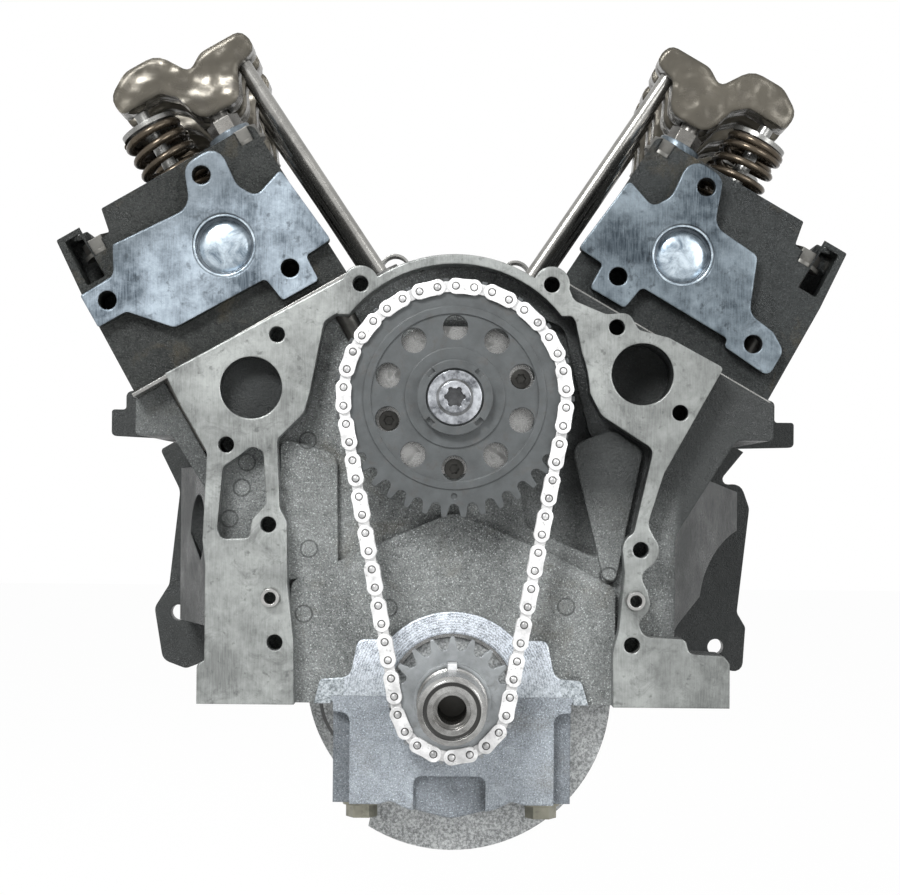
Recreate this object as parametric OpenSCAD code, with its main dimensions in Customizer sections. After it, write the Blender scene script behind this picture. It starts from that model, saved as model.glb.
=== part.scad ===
// Sixty degree pushrod V-six long block: block, heads, valve gear, crank and timing set.
// Origin: centre of the crank's rear flange face. +X right seen from the front, +Y rearwards, +Z up.

/* [Cylinders] */
// Cylinder bore diameter
bore_d = 89; // [86:0.5:91]
// Angle between the two banks
vee_angle = 60; // [59:0.5:61]
// Clearance from the piston crown at top dead centre to the deck
deck_clear = 1.8; // [1:0.1:3]
// Depth of the bores below which the crank swings, measured from the crank axis
bore_bottom = 76; // [74:0.5:78]

/* [Crank train] */
// Stroke of the pistons
stroke = 80; // [78:0.5:82]
// Connecting rod length, centre to centre
rod_len = 140.6; // [138:0.1:143]
// Height of the piston crown above its wrist pin
comp_h = 37.6; // [36:0.1:39]
// Length of a main journal
main_len = 26; // [25:0.5:27]
// Thickness of a crank web beside a main journal
web_t = 15; // [14:0.5:16]
// Length of a crankpin
pin_len = 21; // [20:0.5:22]
// Thickness of the thin web between the two crankpins of a throw
fly_t = 6; // [5:0.5:7]
// Radius of the main journals
main_r = 31; // [30:0.5:32]
// Radius of the crankpins
pin_r = 27; // [26:0.5:28]
// Radius of the wrist pins
wrist_r = 11; // [10:0.5:11.5]
// Running clearance, on the radius, in every bearing
run_gap = 0.03; // [0.02:0.01:0.06]
// Thickness of the main bearing shells
main_shell = 2.5; // [2:0.1:3]
// Thickness of the rod bearing shells
rod_shell = 2; // [1.5:0.1:2.5]
// Radius of the counterweights
weight_r = 86; // [84:0.5:87]
// Angle of the crank at rest, past the first cylinder's top dead centre
rest_turn = -10; // [-10:1:-10]
// Radial play of the wrist pins in the rods
wrist_play = 1.7; // [1.6:0.05:1.9]

/* [Crank ends] */
// Thickness of the crank's rear flange
flange_t = 14; // [12:0.5:16]
// Radius of the crank's rear flange
flange_r = 45; // [44:0.5:46]
// Radius of the flywheel bolt circle
flywheel_bolt_circle_r = 35; // [34:0.5:36]
// Radius of the flywheel bolt holes
flywheel_hole_r = 4.8; // [4:0.1:5.2]
// Length of the seal journal in front of the flange
seal_len = 17; // [16:0.5:18]
// Radius of the seal journal
seal_r = 40; // [38:0.5:41]
// Radius of the crank snout
snout_r = 17.2; // [16.8:0.1:17.6]
// Length of the snout in front of the front main journal
snout_len = 85; // [80:1:90]
// Radius of the threaded hole in the snout
snout_hole_r = 7.3; // [6:0.1:8]
// Depth of the threaded hole in the snout
snout_hole_deep = 45; // [35:1:55]
// Width of the key on the snout
key_w = 4.8; // [4:0.1:5.5]

/* [Timing set] */
// Pitch of the timing chain
chain_pitch = 9.525; // [9.4:0.005:9.6]
// Teeth on the crank sprocket
crank_teeth = 19; // [19:1:19]
// Teeth on the cam sprocket
cam_teeth = 38; // [38:1:38]
// Links in the chain
chain_links = 62; // [62:2:62]
// Height of a chain plate at its pins
plate_h = 8.3; // [8:0.1:8.6]
// Thickness of a chain plate
plate_t = 1.25; // [1.1:0.05:1.4]
// Radius of the chain's bushes
bush_r = 2.54; // [2.4:0.02:2.7]
// Radius of the chain's pins
link_pin_r = 1.6; // [1.5:0.05:1.65]
// Half the gap between a link's inner plates
chain_inner = 2.4; // [2.3:0.05:2.6]
// Thickness of the sprocket teeth
tooth_t = 4.4; // [4:0.1:4.5]
// Distance from the block's front face forward to the chain
chain_ahead = 12; // [11.5:0.5:13]
// Radius on which the cam sprocket's lightening holes lie
sprocket_holes_on_r = 36.5; // [36:0.5:37]
// Radius of the lightening holes
sprocket_hole_r = 6.5; // [6:0.1:7]

/* [Camshaft] */
// Base circle radius of the lobes
lobe_r = 16; // [15.5:0.1:16.5]
// Radius of the lobe's nose
nose_r = 4; // [3.5:0.1:5]
// Width of a lobe
lobe_w = 12; // [11:0.5:13]
// Radius of the cam journals
cam_journal_r = 24; // [23.5:0.1:24.5]
// Thickness of the cam bearings
cam_shell = 2.5; // [2:0.1:3]
// Crank angle of full intake lift after the firing stroke's start
intake_centre = 110; // [110:1:110]
// Crank angle of full exhaust lift after the firing stroke's start
exhaust_centre = 590; // [590:1:590]

/* [Valve gear] */
// Distance of each valve from its cylinder's centre, along the crank
valve_spread = 21; // [20.5:0.25:21.5]
// Offset of the valves from the cylinder axis, outwards
valve_u = -7; // [-8:0.5:-6]
// Height of the valve tips above the head's joint face
tip_h = 135; // [133:0.5:137]
// Radius of a valve stem
stem_r = 4; // [3.5:0.1:4.2]
// Radius of an intake valve's head
intake_r = 20; // [19:0.5:20.5]
// Radius of an exhaust valve's head
exhaust_r = 17; // [16:0.5:18]
// Offset of the rocker pivot from the cylinder axis
pivot_u = -43.5; // [-44:0.5:-43]
// Height of the rocker pivot above the head's joint face
pivot_h = 125; // [124:0.5:126]
// Pushrod socket of the rocker, outwards from the pivot
socket_u = -25.5; // [-26:0.5:-25]
// Pushrod socket of the rocker, above the pivot
socket_v = 6; // [5.5:0.5:6.5]
// Full swing of a rocker
rocker_open = 15; // [14:0.5:15.5]
// Width of a rocker arm
rocker_w = 22; // [21:0.5:23]
// Wall of a rocker arm's sides
rocker_wall = 2.8; // [2.4:0.1:3.2]
// Radius of the fulcrum that a rocker turns on
fulcrum_r = 9; // [8.6:0.1:9.2]
// Gap between a rocker's pad and its valve tip
lash = 0.25; // [0.2:0.05:0.4]
// Mean radius of a valve spring
spring_r = 14.8; // [14.4:0.1:15]
// Radius of the spring wire
wire_r = 2.2; // [2:0.1:2.4]
// Turns of a valve spring
spring_turns = 6; // [5:1:7]
// Height of the spring seats above the head's joint face
seat_h = 82; // [81:0.5:84]
// Height of the springs' upper ends above the head's joint face
retainer_h = 125; // [124:0.5:126]
// Radius of a pushrod
pushrod_r = 4; // [3.6:0.1:4.2]
// Radius of a lifter
lifter_r = 10.7; // [10.4:0.1:10.9]
// Height of the pushrods' lower balls above the camshaft, along the bank
ball_h = 78.1; // [77:0.1:79]
// Radius of a lifter's roller
roller_r = 9; // [8.5:0.1:9.4]

/* [Heads] */
// Reach of a head past its outer cylinders' pitch
head_over = 12; // [10:0.5:13]
// Height of a head's cover rail above its joint face
rail_h = 94; // [92:0.5:96]
// Thickness of a head gasket
gasket_t = 2; // [1.5:0.1:2.5]
// Depth of the casting behind each end's machined face
end_step = 8; // [6:0.5:10]
// Radius of the combustion chambers
chamber_r = 43.6; // [43:0.1:44.4]
// Depth of the combustion chambers
chamber_deep = 11; // [10.5:0.1:11.5]
// Radius of the core plugs in the head's ends
head_plug_r = 16.8; // [16:0.1:17.4]
// Radius of the intake ports
intake_port_r = 14; // [13:0.5:15]
// Radius of the exhaust ports
exhaust_port_r = 13; // [12:0.5:14]

/* [Block] */
// Distance from the front main bearing's centre to the timing-cover face
front_reach = 28; // [27:0.5:29]
// Height of the timing-cover flange over the front wall
cover_flange = 18; // [17:0.5:19]
// Distance from the crank flange's face to the block's rear face
rear_step = 12; // [11:0.5:13]
// Thickness of a main bulkhead
bulkhead_t = 24; // [23:0.5:25]
// Depth of the pan rail below the crank axis
rail_drop = 4; // [3.5:0.5:5]
// Inner radius of the crankcase
case_r = 92; // [91:0.5:93]
// Thickness of the bellhousing flange
bell_t = 14; // [12:0.5:16]
// Radius of the block's side core plugs
block_plug_r = 20; // [19:0.5:21]
// Radius of the timing-cover screw holes
cover_hole_r = 4.2; // [4:0.1:4.4]
// Radius of the timing-cover dowels
dowel_r = 4.8; // [4.6:0.1:5.2]
// Radius of the water outlets in the timing-cover face
water_r = 16.3; // [15.5:0.1:17]
// Half the distance between a main cap's bolts
cap_bolt_x = 48; // [47:0.5:49]
// Radius of the main cap bolts
cap_bolt_r = 5.4; // [5:0.1:5.8]
// Half the width of a main cap
cap_half = 64; // [63:0.5:65]
// Depth of the main caps below the crank axis
cap_deep = 57; // [56:0.5:58]
// Radius of the head bolts
head_bolt_r = 5.4; // [5:0.1:5.8]
// Radial clearance of the bolts in their holes
bolt_gap = 0.3; // [0.2:0.05:0.5]

/* [Hidden] */
$fn = 64;

iron = [0.23, 0.22, 0.21];
machined = [0.62, 0.62, 0.59];
steel = [0.72, 0.72, 0.71];
dark_steel = [0.33, 0.33, 0.34];
bronze_steel = [0.36, 0.31, 0.26];
zinc = [0.78, 0.79, 0.80];
eps = 0.5;

half_vee = vee_angle / 2;
throw_r = stroke / 2;
deck_v = throw_r + rod_len + comp_h + deck_clear;
head_v = deck_v + gasket_t;
tip_v = head_v + tip_h;
pivot_v = head_v + pivot_h;
seat_v = head_v + seat_h;
retainer_v = head_v + retainer_h;
rail_v = head_v + rail_h;
bore_pitch = main_len + 2 * web_t + 2 * pin_len + fly_t;
rear_main_y = -(flange_t + seal_len + main_len / 2);
front_main_y = rear_main_y - 3 * bore_pitch;
first_bore = main_len / 2 + web_t + pin_len / 2;
bank_stagger = pin_len + fly_t;
head_len = 3 * bore_pitch + 2 * head_over;
front_y = front_main_y - front_reach;
wall_y = front_y + cover_flange;
plate_y = wall_y - 5;
boss_y = wall_y - 9;
wall_t = 14;
rear_y = -rear_step;
chain_y = front_y - chain_ahead;
journal_end_y = front_main_y - main_len / 2;
snout_y = journal_end_y - snout_len;
seat_y = chain_y - 17;
snout_seat_r = snout_r + 1;
housing_r = main_r + run_gap + main_shell;
pin_housing_r = pin_r + run_gap + rod_shell;
cam_housing_r = cam_journal_r + run_gap + cam_shell;
left_head_y = front_main_y + first_bore + bore_pitch;
right_head_y = left_head_y + bank_stagger;
cam_bearing_half = first_bore - valve_spread - lifter_r - 0.3;

// Pitch radii of the sprockets, and the centre distance at which the whole chain closes
crank_pitch_r = chain_pitch / 2 / sin(180 / crank_teeth);
cam_pitch_r = chain_pitch / 2 / sin(180 / cam_teeth);
crank_step = 360 / crank_teeth;
cam_step = 360 / cam_teeth;
function lean(c) = asin((cam_pitch_r - crank_pitch_r) / c);
function run(c) = sqrt(c * c - pow(cam_pitch_r - crank_pitch_r, 2));
function on_crank(c) = floor((90 - lean(c)) / crank_step);
function on_cam(c) = floor((90 + lean(c)) / cam_step);
function leave_crank(c) = 90 - lean(c) - on_crank(c) * crank_step;
function reach_cam(c) = 90 + lean(c) - on_cam(c) * cam_step;
function run_start(c) = sqrt(pow(chain_pitch, 2) - pow(crank_pitch_r * (1 - cos(leave_crank(c))), 2))
    - crank_pitch_r * sin(leave_crank(c));
function run_end(c) = run(c) + cam_pitch_r * sin(reach_cam(c))
    - sqrt(pow(chain_pitch, 2) - pow(cam_pitch_r * (1 - cos(reach_cam(c))), 2));
function run_links(c) = chain_links / 2 - on_cam(c) - on_crank(c) - 2;
function slack(c) = run_end(c) - run_start(c) - run_links(c) * chain_pitch;
function close_chain(low, high, n) = n == 0 ? (low + high) / 2
    : slack((low + high) / 2) > 0 ? close_chain(low, (low + high) / 2, n - 1)
    : close_chain((low + high) / 2, high, n - 1);
cam_z = close_chain(16.3 * chain_pitch, 16.7 * chain_pitch, 40);

// Place of bush k on the right-hand side, counted from the lowest one up
function side_bush(k, c = cam_z) =
    k <= on_crank(c) ? crank_pitch_r * [sin(k * crank_step), -cos(k * crank_step)]
    : k < chain_links / 2 - on_cam(c)
        ? let (t = run_start(c) + (k - on_crank(c) - 1) * chain_pitch)
            crank_pitch_r * [cos(lean(c)), -sin(lean(c))] + t * [sin(lean(c)), cos(lean(c))]
    : [cam_pitch_r * sin((chain_links / 2 - k) * cam_step),
        c + cam_pitch_r * cos((chain_links / 2 - k) * cam_step)];
function bush(k) = k <= chain_links / 2 ? side_bush(k)
    : let (p = side_bush(chain_links - k)) [-p[0], p[1]];

// Cylinders: side -1 is the left bank, 1 the right; n counts from the front
function cyl_y(side, n) = front_main_y + first_bore + (side > 0 ? bank_stagger : 0) + n * bore_pitch;
function cyl_turn(side, n) = rest_turn + 120 * n + (side > 0 ? 240 : 0);
function pin_turn(side, n) = side * half_vee + cyl_turn(side, n);
function wrist_at(t) = throw_r * cos(t) + sqrt(pow(rod_len, 2) - pow(throw_r * sin(t), 2));
function rod_lean(t) = asin(throw_r * sin(t) / rod_len);
// At rest each wrist pin and rod stands midway between its true place and the chord of its travel
function rest_wrist(t) = (wrist_at(t) + (wrist_at(t + crank_step) + wrist_at(t - crank_step)) / 2) / 2;
function rest_lean(t) = (rod_lean(t) + (rod_lean(t + crank_step) + rod_lean(t - crank_step)) / 2) / 2;
left_cycle = [360, 120, 600];
right_cycle = [240, 720, 480];
function lobe_turn(side, n, centre) = side * half_vee
    + (rest_turn + (side > 0 ? right_cycle[n] : left_cycle[n]) - centre) / 2;

// Valve gear in one bank: u points outwards across the bank, v up along it
lifter_u = -cam_z * sin(half_vee);
cam_v = cam_z * cos(half_vee);
ball_v = cam_v + ball_h;
socket_len = norm([socket_u, socket_v]);
socket_angle = atan2(socket_v, socket_u);
function socket_at(a) = [pivot_u, pivot_v] + socket_len * [cos(socket_angle - a), sin(socket_angle - a)];
pushrod_len = norm(socket_at(0) - [lifter_u, ball_v]);
function lifter_lift(a) = socket_at(a)[1] - ball_v
    - sqrt(pow(pushrod_len, 2) - pow(socket_at(a)[0] - lifter_u, 2));
function pushrod_lean(a) = asin((socket_at(a)[0] - lifter_u) / pushrod_len);
cam_lift = lifter_lift(rocker_open);
nose_at = lobe_r + cam_lift - nose_r;
pad_r = 8;
pad_u = valve_u - pivot_u;
pad_v = tip_v + lash + pad_r - pivot_v;
function pad_height(a) = norm([pad_u, pad_v]) * sin(atan2(pad_v, pad_u) - a);
valve_lift = pad_height(0) - pad_height(rocker_open);
lifter_fit = 0.04;

// Timing-cover face, seen from the front: corners as x, z and radius
left_leg = [[-134, -rail_drop, 0], [-134, 17, 3], [-130, 18.5, 2], [-130, 69, 2], [-131.5, 82, 8],
    [-129.5, 128, 8], [-144, 153, 0], [-152, 169, 0], [-57, 221, 2], [-46, 206, 4], [-63, 201, 6],
    [-69, 197, 5], [-76, 160, 10], [-79, 149, 8], [-93, 135, 5], [-91.3, 99, 8], [-87.5, 92, 0],
    [-87, 60, 8], [-83.5, 29, 6], [-83, -rail_drop, 0]];
right_leg = [[145.4, -rail_drop, 0], [145.3, 19.7, 3], [142, 23.4, 2], [124, 24.2, 4], [122, 32, 3],
    [100, 33, 8], [97, 41, 5], [104, 48, 8], [102, 57, 8], [97.5, 66, 7], [106, 72, 6], [107, 82, 8],
    [101.5, 92, 8], [110, 119, 8], [140.7, 174.5, 2], [112, 190, 6], [96, 194, 4], [91, 203, 6],
    [79, 202, 6], [62, 209, 6], [57, 221, 3], [46, 206, 3], [62.5, 200.6, 6], [70.9, 160.5, 10],
    [77, 149, 8], [104.5, 131.5, 5], [94.8, 89, 6], [88.8, 78.5, 8], [90, 66, 8], [87, 36, 8],
    [84, 25, 5], [84.4, -rail_drop, 0]];
leg_pocket = [[-106.5, 131.3, 4], [-100, 129, 4], [-98.2, 101, 4], [-105.5, 93, 4], [-107, 83, 3],
    [-122, 82.5, 5], [-124, 88, 4], [-121.3, 120.5, 5], [-113, 126, 5]];
arch_outer = 76;
arch_inner = 71;
cover_holes = [[-50, 217], [-93.5, 190], [-119.6, 132], [-97.2, 90.3], [-93.3, 28.5],
    [50.3, 217.3], [84.6, 195.3], [118.2, 150.7], [98.2, 78.7], [94, 28.7]];
boss_holes = [[-50, 217], [50.3, 217.3], [-97.2, 90.3], [98.2, 78.7]];
cover_boss_r = 9.5;
cover_hole_deep = 21;
dowels = [[-95.5, 52], [95.5, 52]];
dowel_deep = 10;
dowel_stand = 6;
water_holes = [[-106.8, 162], [98.3, 170.8]];
water_deep = [14, 30];
lower_plate = [[-86, -rail_drop, 0], [-86, 60, 6], [-50, 76, 10], [0, 98, 14], [52, 76, 10],
    [86, 58, 6], [86, -rail_drop, 0]];
side_pad = [[-92, 60, 3], [-92, 136, 4], [-62, 128, 8], [-61, 66, 8]];
jacket_rib = [[62, 134, 8], [84, 142, 8], [100, 131, 5], [92, 92, 6], [86, 62, 5], [80, 62, 5]];
bearing_wing = [[-73, -rail_drop, 0], [-70, 9, 3], [-54, 10, 6], [-50, 30, 4], [50, 30, 4],
    [54, 10, 6], [68, 9, 3], [72, -rail_drop, 0]];
wall_recess = [[38, 90, 6], [78, 73, 6], [84, 92, 6], [90, 128, 6], [72, 139, 8], [64, 170, 8],
    [58, 196, 8], [40, 204, 6], [30, 150, 0]];
recess_deep = 8;
bearing_boss_r = 45;
thrust_r = 43;
thrust_t = 4;
thrust_stand = 3;
thrust_hole_r = 15;
screw_at = [18, -90, 198];
screw_on_r = 36.5;
screw_r = 2.9;

dowel_seat_r = dowel_r + 0.2;

// Block section behind the front wall: right half, x and z
ledge_x = 169.8;
ledge_z = 137;
case_x = 118;
rail_x = 134;
rail_t = 12;
deck_in = -61.5;
deck_out = 69;
boss_top_v = 205;
boss_in = -93;
valley_z = 202.4;
legs_top = 60;
block_wide = 400;
function bank_xz(u, v) = [u * cos(half_vee) + v * sin(half_vee), v * cos(half_vee) - u * sin(half_vee)];
jacket_low = 122;
jacket_high = 205;
jacket_in = -53;
jacket_out = 54;
barrel_r = bore_d / 2 + 5.5;
block_plug_v = 155;
block_plug_deep = 9;
plug_cut = 13;
head_bolt_y = [for (i = [-1.5, -0.5, 0.5, 1.5]) i * bore_pitch - (abs(i) > 1 ? sign(i) * 6 : 0)];
head_bolt_in = -50;
head_bolt_out = 46;
head_bolt_deep = 48;
cap_bolt_deep = 60;
bell_outline = [[-158, 0.1 - rail_drop, 0], [-184, -14, 6], [-200, -8, 8], [-206, 28, 8], [-196, 44, 8],
    [-189, 109, 12], [-203, 137, 3], [-165, 160, 4], [-56, 222, 3], [0, 222, 0], [56, 222, 3],
    [165, 160, 4], [203, 143, 3], [181, 116, 6], [198, 117, 8], [204, 100, 10], [196, 28, 6],
    [202, 18, 5], [200, -14, 6], [158, 0.1 - rail_drop, 0]];
ear_t = 6;
left_ear = [[-160, 140, 0], [-184, 144, 0], [-238, 146.5, 3], [-238, 164.8, 2], [-228, 164.8, 2],
    [-228, 177, 4], [-188, 184, 0], [-169.5, 152, 0]];
right_ear = [[160, 140, 0], [184, 141, 0], [235.5, 142.5, 3], [235.5, 159.7, 2], [222, 159.7, 2],
    [222, 174, 4], [188, 184, 0], [169.5, 152, 0]];
bell_holes = [[-189.5, 24.6], [181.5, 4.2], [-178, 131], [178, 131], [-70, 202], [70, 202]];
bell_hole_r = 5.5;
gusset_y = -250;
gusset_low = 22;
gusset_high = 124;
flare_y = -340;
flare_outline = [[90, 22, 0], [112, 22, 0], [124, 37, 6], [150, 60, 0], [190, 84, 3], [190, 104, 4],
    [118, 124, 0], [90, 124, 0]];
starter_at = [186, 44];
starter_r = 47;
pan_hole_x = 126;
pan_hole_r = 3.4;
pan_hole_deep = 9;
pan_hole_gap = 58;
pan_holes = 6;

// Head section and the outlines of its two ends, as offset, height above the joint face, and radius
head_outline = [[-62, 0, 0], [-57, rail_h, 4], [34.5, rail_h, 1], [37, 81, 2], [48, 79, 2],
    [48.5, 91, 1], [63.5, 91, 1], [66, 58, 0], [67, 0, 0]];
plug_face = [[-15, 91, 8], [-36, 92, 8], [-34, 68, 10], [-40, 58, 5], [-58, 64, 2],
    [-63, 19, 2], [-47.5, 18, 2], [-47, 3.6, 2], [-25.4, 3.6, 2], [-23.1, 18, 3]];
first_end = [[31, 19, 6], [49, 39, 4], [66, 39, 1], [66, 58, 1], [45.6, 58.6, 5],
    [38, 73, 1], [-7, 70, 10]];
second_end = [[30.5, 17.5, 2], [31.5, 13, 2], [60, 11, 4], [60, 27, 6], [50, 33, 6],
    [34, 35, 8], [22, 64, 4], [-6, 66, 9]];
tab_hole = [-20.5, 82];
foot_hole = [-37, 16.5];
first_hole = [54.8, 49];
second_hole = [44, 22];
head_hole_r = 5;
head_hole_deep = 22;
plug_at = [-12.8, 44];
plug_deep = 11;
well_in = -27;
well_out = 25;
well_end = 12;
pad_stand_r = 12;
pad_stand_h = 102;
seat_r = 19;
lug_pocket = [[50, 62, 1], [61, 62, 1], [60, 88, 1], [51, 88, 1]];
bolt_seat_out = 74;
bolt_seat_in = 86;
pad_stand_v = head_v + pad_stand_h;

function unit(p) = p / norm(p);
function xy(p) = [p[0], p[1]];
function fold(a) = a > 180 ? a - 360 : a < -180 ? a + 360 : a;
// The arc that rounds the corner q between p and s
function corner(p, q, s, r, n) = r == 0 ? [q]
    : let (a = unit(p - q), b = unit(s - q), half = acos(a * b) / 2,
        room = 0.48 * min(norm(p - q), norm(s - q)), d = min(r / tan(half), room), f = d * tan(half),
        c = q + unit(a + b) * f / sin(half), v = q + a * d - c, w = q + b * d - c,
        from = atan2(v[1], v[0]), turn = fold(atan2(w[1], w[0]) - from))
        [for (i = [0:n]) c + f * [cos(from + turn * i / n), sin(from + turn * i / n)]];
function round_path(pts, n = 4) = [for (i = [0:len(pts) - 1])
    each corner(xy(pts[(i + len(pts) - 1) % len(pts)]), xy(pts[i]), xy(pts[(i + 1) % len(pts)]),
        pts[i][2], n)];

// Extrudes an x-z outline from y0 back to y1
module section(y0, y1) translate([0, y1, 0]) rotate([90, 0, 0]) linear_extrude(y1 - y0) children();
module rounded(pts, n = 4) polygon(round_path(pts, n));
module rod_y(r, y0, y1) translate([0, y1, 0]) rotate([90, 0, 0]) cylinder(r = r, h = y1 - y0);
module at_xz(p) translate([p[0], 0, p[1]]) children();
// A bank's own frame at station y: x outwards, z up along the bank
module on_bank(side, y) translate([0, y, 0]) rotate([0, side * half_vee, 0])
    rotate([0, 0, side > 0 ? 0 : 180]) children();
// The same frame mirrored across the engine's middle, for what isn't turned end for end
module in_bank(side) mirror([side > 0 ? 0 : 1, 0, 0]) rotate([0, half_vee, 0]) children();
module sides() for (side = [-1, 1]) children();
function rows() = [0, 1, 2];
function mains() = [0, 1, 2, 3];
function main_y(k) = rear_main_y - k * bore_pitch;

module flange_2d() {
    difference() {
        union() {
            rounded(left_leg);
            rounded(right_leg);
            difference() {
                translate([0, cam_z]) circle(arch_outer);
                translate([-arch_outer, 0]) square([2 * arch_outer, cam_z + 44]);
            }
            for (p = boss_holes) translate(p) circle(cover_boss_r);
        }
        translate([0, cam_z]) circle(arch_inner);
    }
}

// Everything on the crank's side of both deck faces
module below_decks() {
    top = deck_v / cos(half_vee);
    polygon([[-300, -50], [300, -50], [300, top - 300 * tan(half_vee)], [0, top],
        [-300, top - 300 * tan(half_vee)]]);
}

module block_section() {
    a = bank_xz(deck_in, deck_v);
    b = bank_xz(deck_out, deck_v);
    c = bank_xz(deck_in, boss_top_v);
    d = bank_xz(boss_in, boss_top_v);
    half = [[0, -rail_drop, 0], [rail_x, -rail_drop, 0], [rail_x, rail_t - rail_drop, 2],
        [case_x, rail_t - rail_drop, 5], [case_x, 86, 14], [150, ledge_z, 6], [ledge_x, ledge_z, 2],
        [b[0], b[1], 0], [a[0], a[1], 0], [c[0], c[1], 2], [d[0], d[1], 1], [9.5, valley_z, 3],
        [0, valley_z, 0]];
    for (m = [0, 1]) mirror([m, 0]) rounded(half);
}

module case_bays() {
    for (k = [0, 1, 2])
        section(main_y(k + 1) + bulkhead_t / 2, main_y(k) - bulkhead_t / 2) {
            circle(case_r);
            translate([-case_r + 2, -rail_drop - eps]) square([2 * case_r - 4, 40]);
        }
}

module jacket(side) {
    first = cyl_y(side, 0) - bore_d / 2 + 2;
    last = cyl_y(side, 2) + bore_d / 2 + (side > 0 ? 8 : 16);
    in_bank(side) difference() {
        translate([jacket_in, first, jacket_low])
            cube([jacket_out - jacket_in, last - first, jacket_high - jacket_low]);
        for (n = rows())
            translate([0, cyl_y(side, n), jacket_low - eps])
                cylinder(r = barrel_r, h = jacket_high - jacket_low + 2 * eps);
    }
}

module head_bolt_places(side)
    on_bank(side, side > 0 ? right_head_y : left_head_y)
        for (y = head_bolt_y, u = [head_bolt_in, head_bolt_out]) translate([u, y, 0]) children();

module sides_rows()
    for (side = [-1, 1], n = rows(), e = [-1, 1])
        on_bank(side, cyl_y(side, n) + e * valve_spread) children();

module left_gusset() mirror([1, 0, 0])
    translate([0, 0, gusset_low]) linear_extrude(gusset_high - gusset_low)
        polygon([[case_x - 8, gusset_y], [case_x, gusset_y], [184, -60], [184, rear_y - bell_t / 2],
            [case_x - 8, rear_y - bell_t / 2]]);
module right_flare() intersection() {
    translate([0, 0, gusset_low]) linear_extrude(gusset_high - gusset_low)
        polygon([[case_x - 8, flare_y], [case_x, flare_y], [168, -235], [184, -60],
            [184, rear_y - bell_t / 2], [case_x - 8, rear_y - bell_t / 2]]);
    section(flare_y - 1, rear_y) rounded(flare_outline);
}

module cylinder_block() color(iron) difference() {
    union() {
        section(wall_y + wall_t - eps, rear_y) block_section();
        section(wall_y, wall_y + wall_t) {
            intersection() {
                flange_2d();
                below_decks();
            }
            block_section();
            translate([0, cam_z]) circle(arch_outer);
        }
        difference() {
            section(front_y, wall_y + eps) flange_2d();
            section(front_y - eps, wall_y - 4) rounded(leg_pocket);
            section(front_y + 2, wall_y + 1) difference() {
                translate([-block_wide / 2, legs_top]) square([block_wide / 2, block_wide / 2]);
                below_decks();
            }
        }
        section(plate_y, wall_y + eps) {
            rounded(lower_plate);
            rounded(side_pad);
            rounded(jacket_rib);
        }
        section(wall_y - thrust_stand, wall_y + eps) translate([0, cam_z]) circle(thrust_r);
        section(boss_y, wall_y + eps) intersection() {
            union() {
                circle(bearing_boss_r);
                rounded(bearing_wing);
            }
            translate([-80, -rail_drop]) square([160, 60]);
        }
        section(rear_y - bell_t, rear_y) intersection() {
            rounded(bell_outline);
            below_decks();
        }
        section(rear_y - ear_t, rear_y) {
            rounded(left_ear);
            rounded(right_ear);
        }
        left_gusset();
        right_flare();
        section(rear_y - 20, rear_y) translate([0, cam_z]) circle(arch_outer - 8);
    }
    section(wall_y - eps, wall_y + recess_deep) difference() {
        rounded(wall_recess);
        translate([0, cam_z]) circle(thrust_r + 5);
    }
    case_bays();
    translate([-cap_half, boss_y - eps, -rail_drop - eps])
        cube([2 * cap_half, -boss_y + rear_y + 2 * eps, rail_drop + eps]);
    rod_y(housing_r, boss_y - eps, rear_main_y + bulkhead_t / 2);
    rod_y(flange_r + 2, rear_main_y + bulkhead_t / 2, rear_y + eps);
    at_xz([0, cam_z]) rod_y(cam_housing_r, front_y, rear_y - 10);
    for (side = [-1, 1]) {
        for (n = rows()) {
            in_bank(side) translate([0, cyl_y(side, n), bore_bottom])
                cylinder(r = bore_d / 2, h = deck_v - bore_bottom + eps);
            in_bank(side) translate([jacket_out - 4, cyl_y(side, n), block_plug_v])
                rotate([0, 90, 0]) cylinder(r = block_plug_r, h = side > 0 && n < 2 ? plug_cut : 60);
        }
        jacket(side);
        head_bolt_places(side) translate([0, 0, deck_v - head_bolt_deep])
            cylinder(r = head_bolt_r + bolt_gap, h = head_bolt_deep + eps);
    }
    sides_rows() translate([lifter_u, 0, cam_v]) cylinder(r = lifter_r + lifter_fit, h = 90);
    for (k = mains(), x = [-cap_bolt_x, cap_bolt_x])
        translate([x, main_y(k), -eps]) cylinder(r = cap_bolt_r + bolt_gap, h = cap_bolt_deep);
    for (p = cover_holes) at_xz(p) rod_y(cover_hole_r, front_y - eps, front_y + cover_hole_deep);
    for (p = dowels) at_xz(p) rod_y(dowel_seat_r, front_y - eps, front_y + dowel_deep);
    for (i = [0, 1]) at_xz(water_holes[i]) rod_y(water_r, front_y - eps, front_y + water_deep[i]);
    for (a = screw_at)
        at_xz([screw_on_r * cos(a), cam_z + screw_on_r * sin(a)])
            rod_y(screw_r, front_y, wall_y + 9);
    for (p = bell_holes) at_xz(p) rod_y(bell_hole_r, rear_y - bell_t - 60, rear_y + eps);
    at_xz(starter_at) rod_y(starter_r, flare_y, rear_y - bell_t);
    for (x = [-pan_hole_x, pan_hole_x], i = [0:pan_holes - 1])
        translate([x, (front_y + rear_y) / 2 + (i - (pan_holes - 1) / 2) * pan_hole_gap, -rail_drop - eps])
            cylinder(r = pan_hole_r, h = pan_hole_deep + eps);
}

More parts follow.
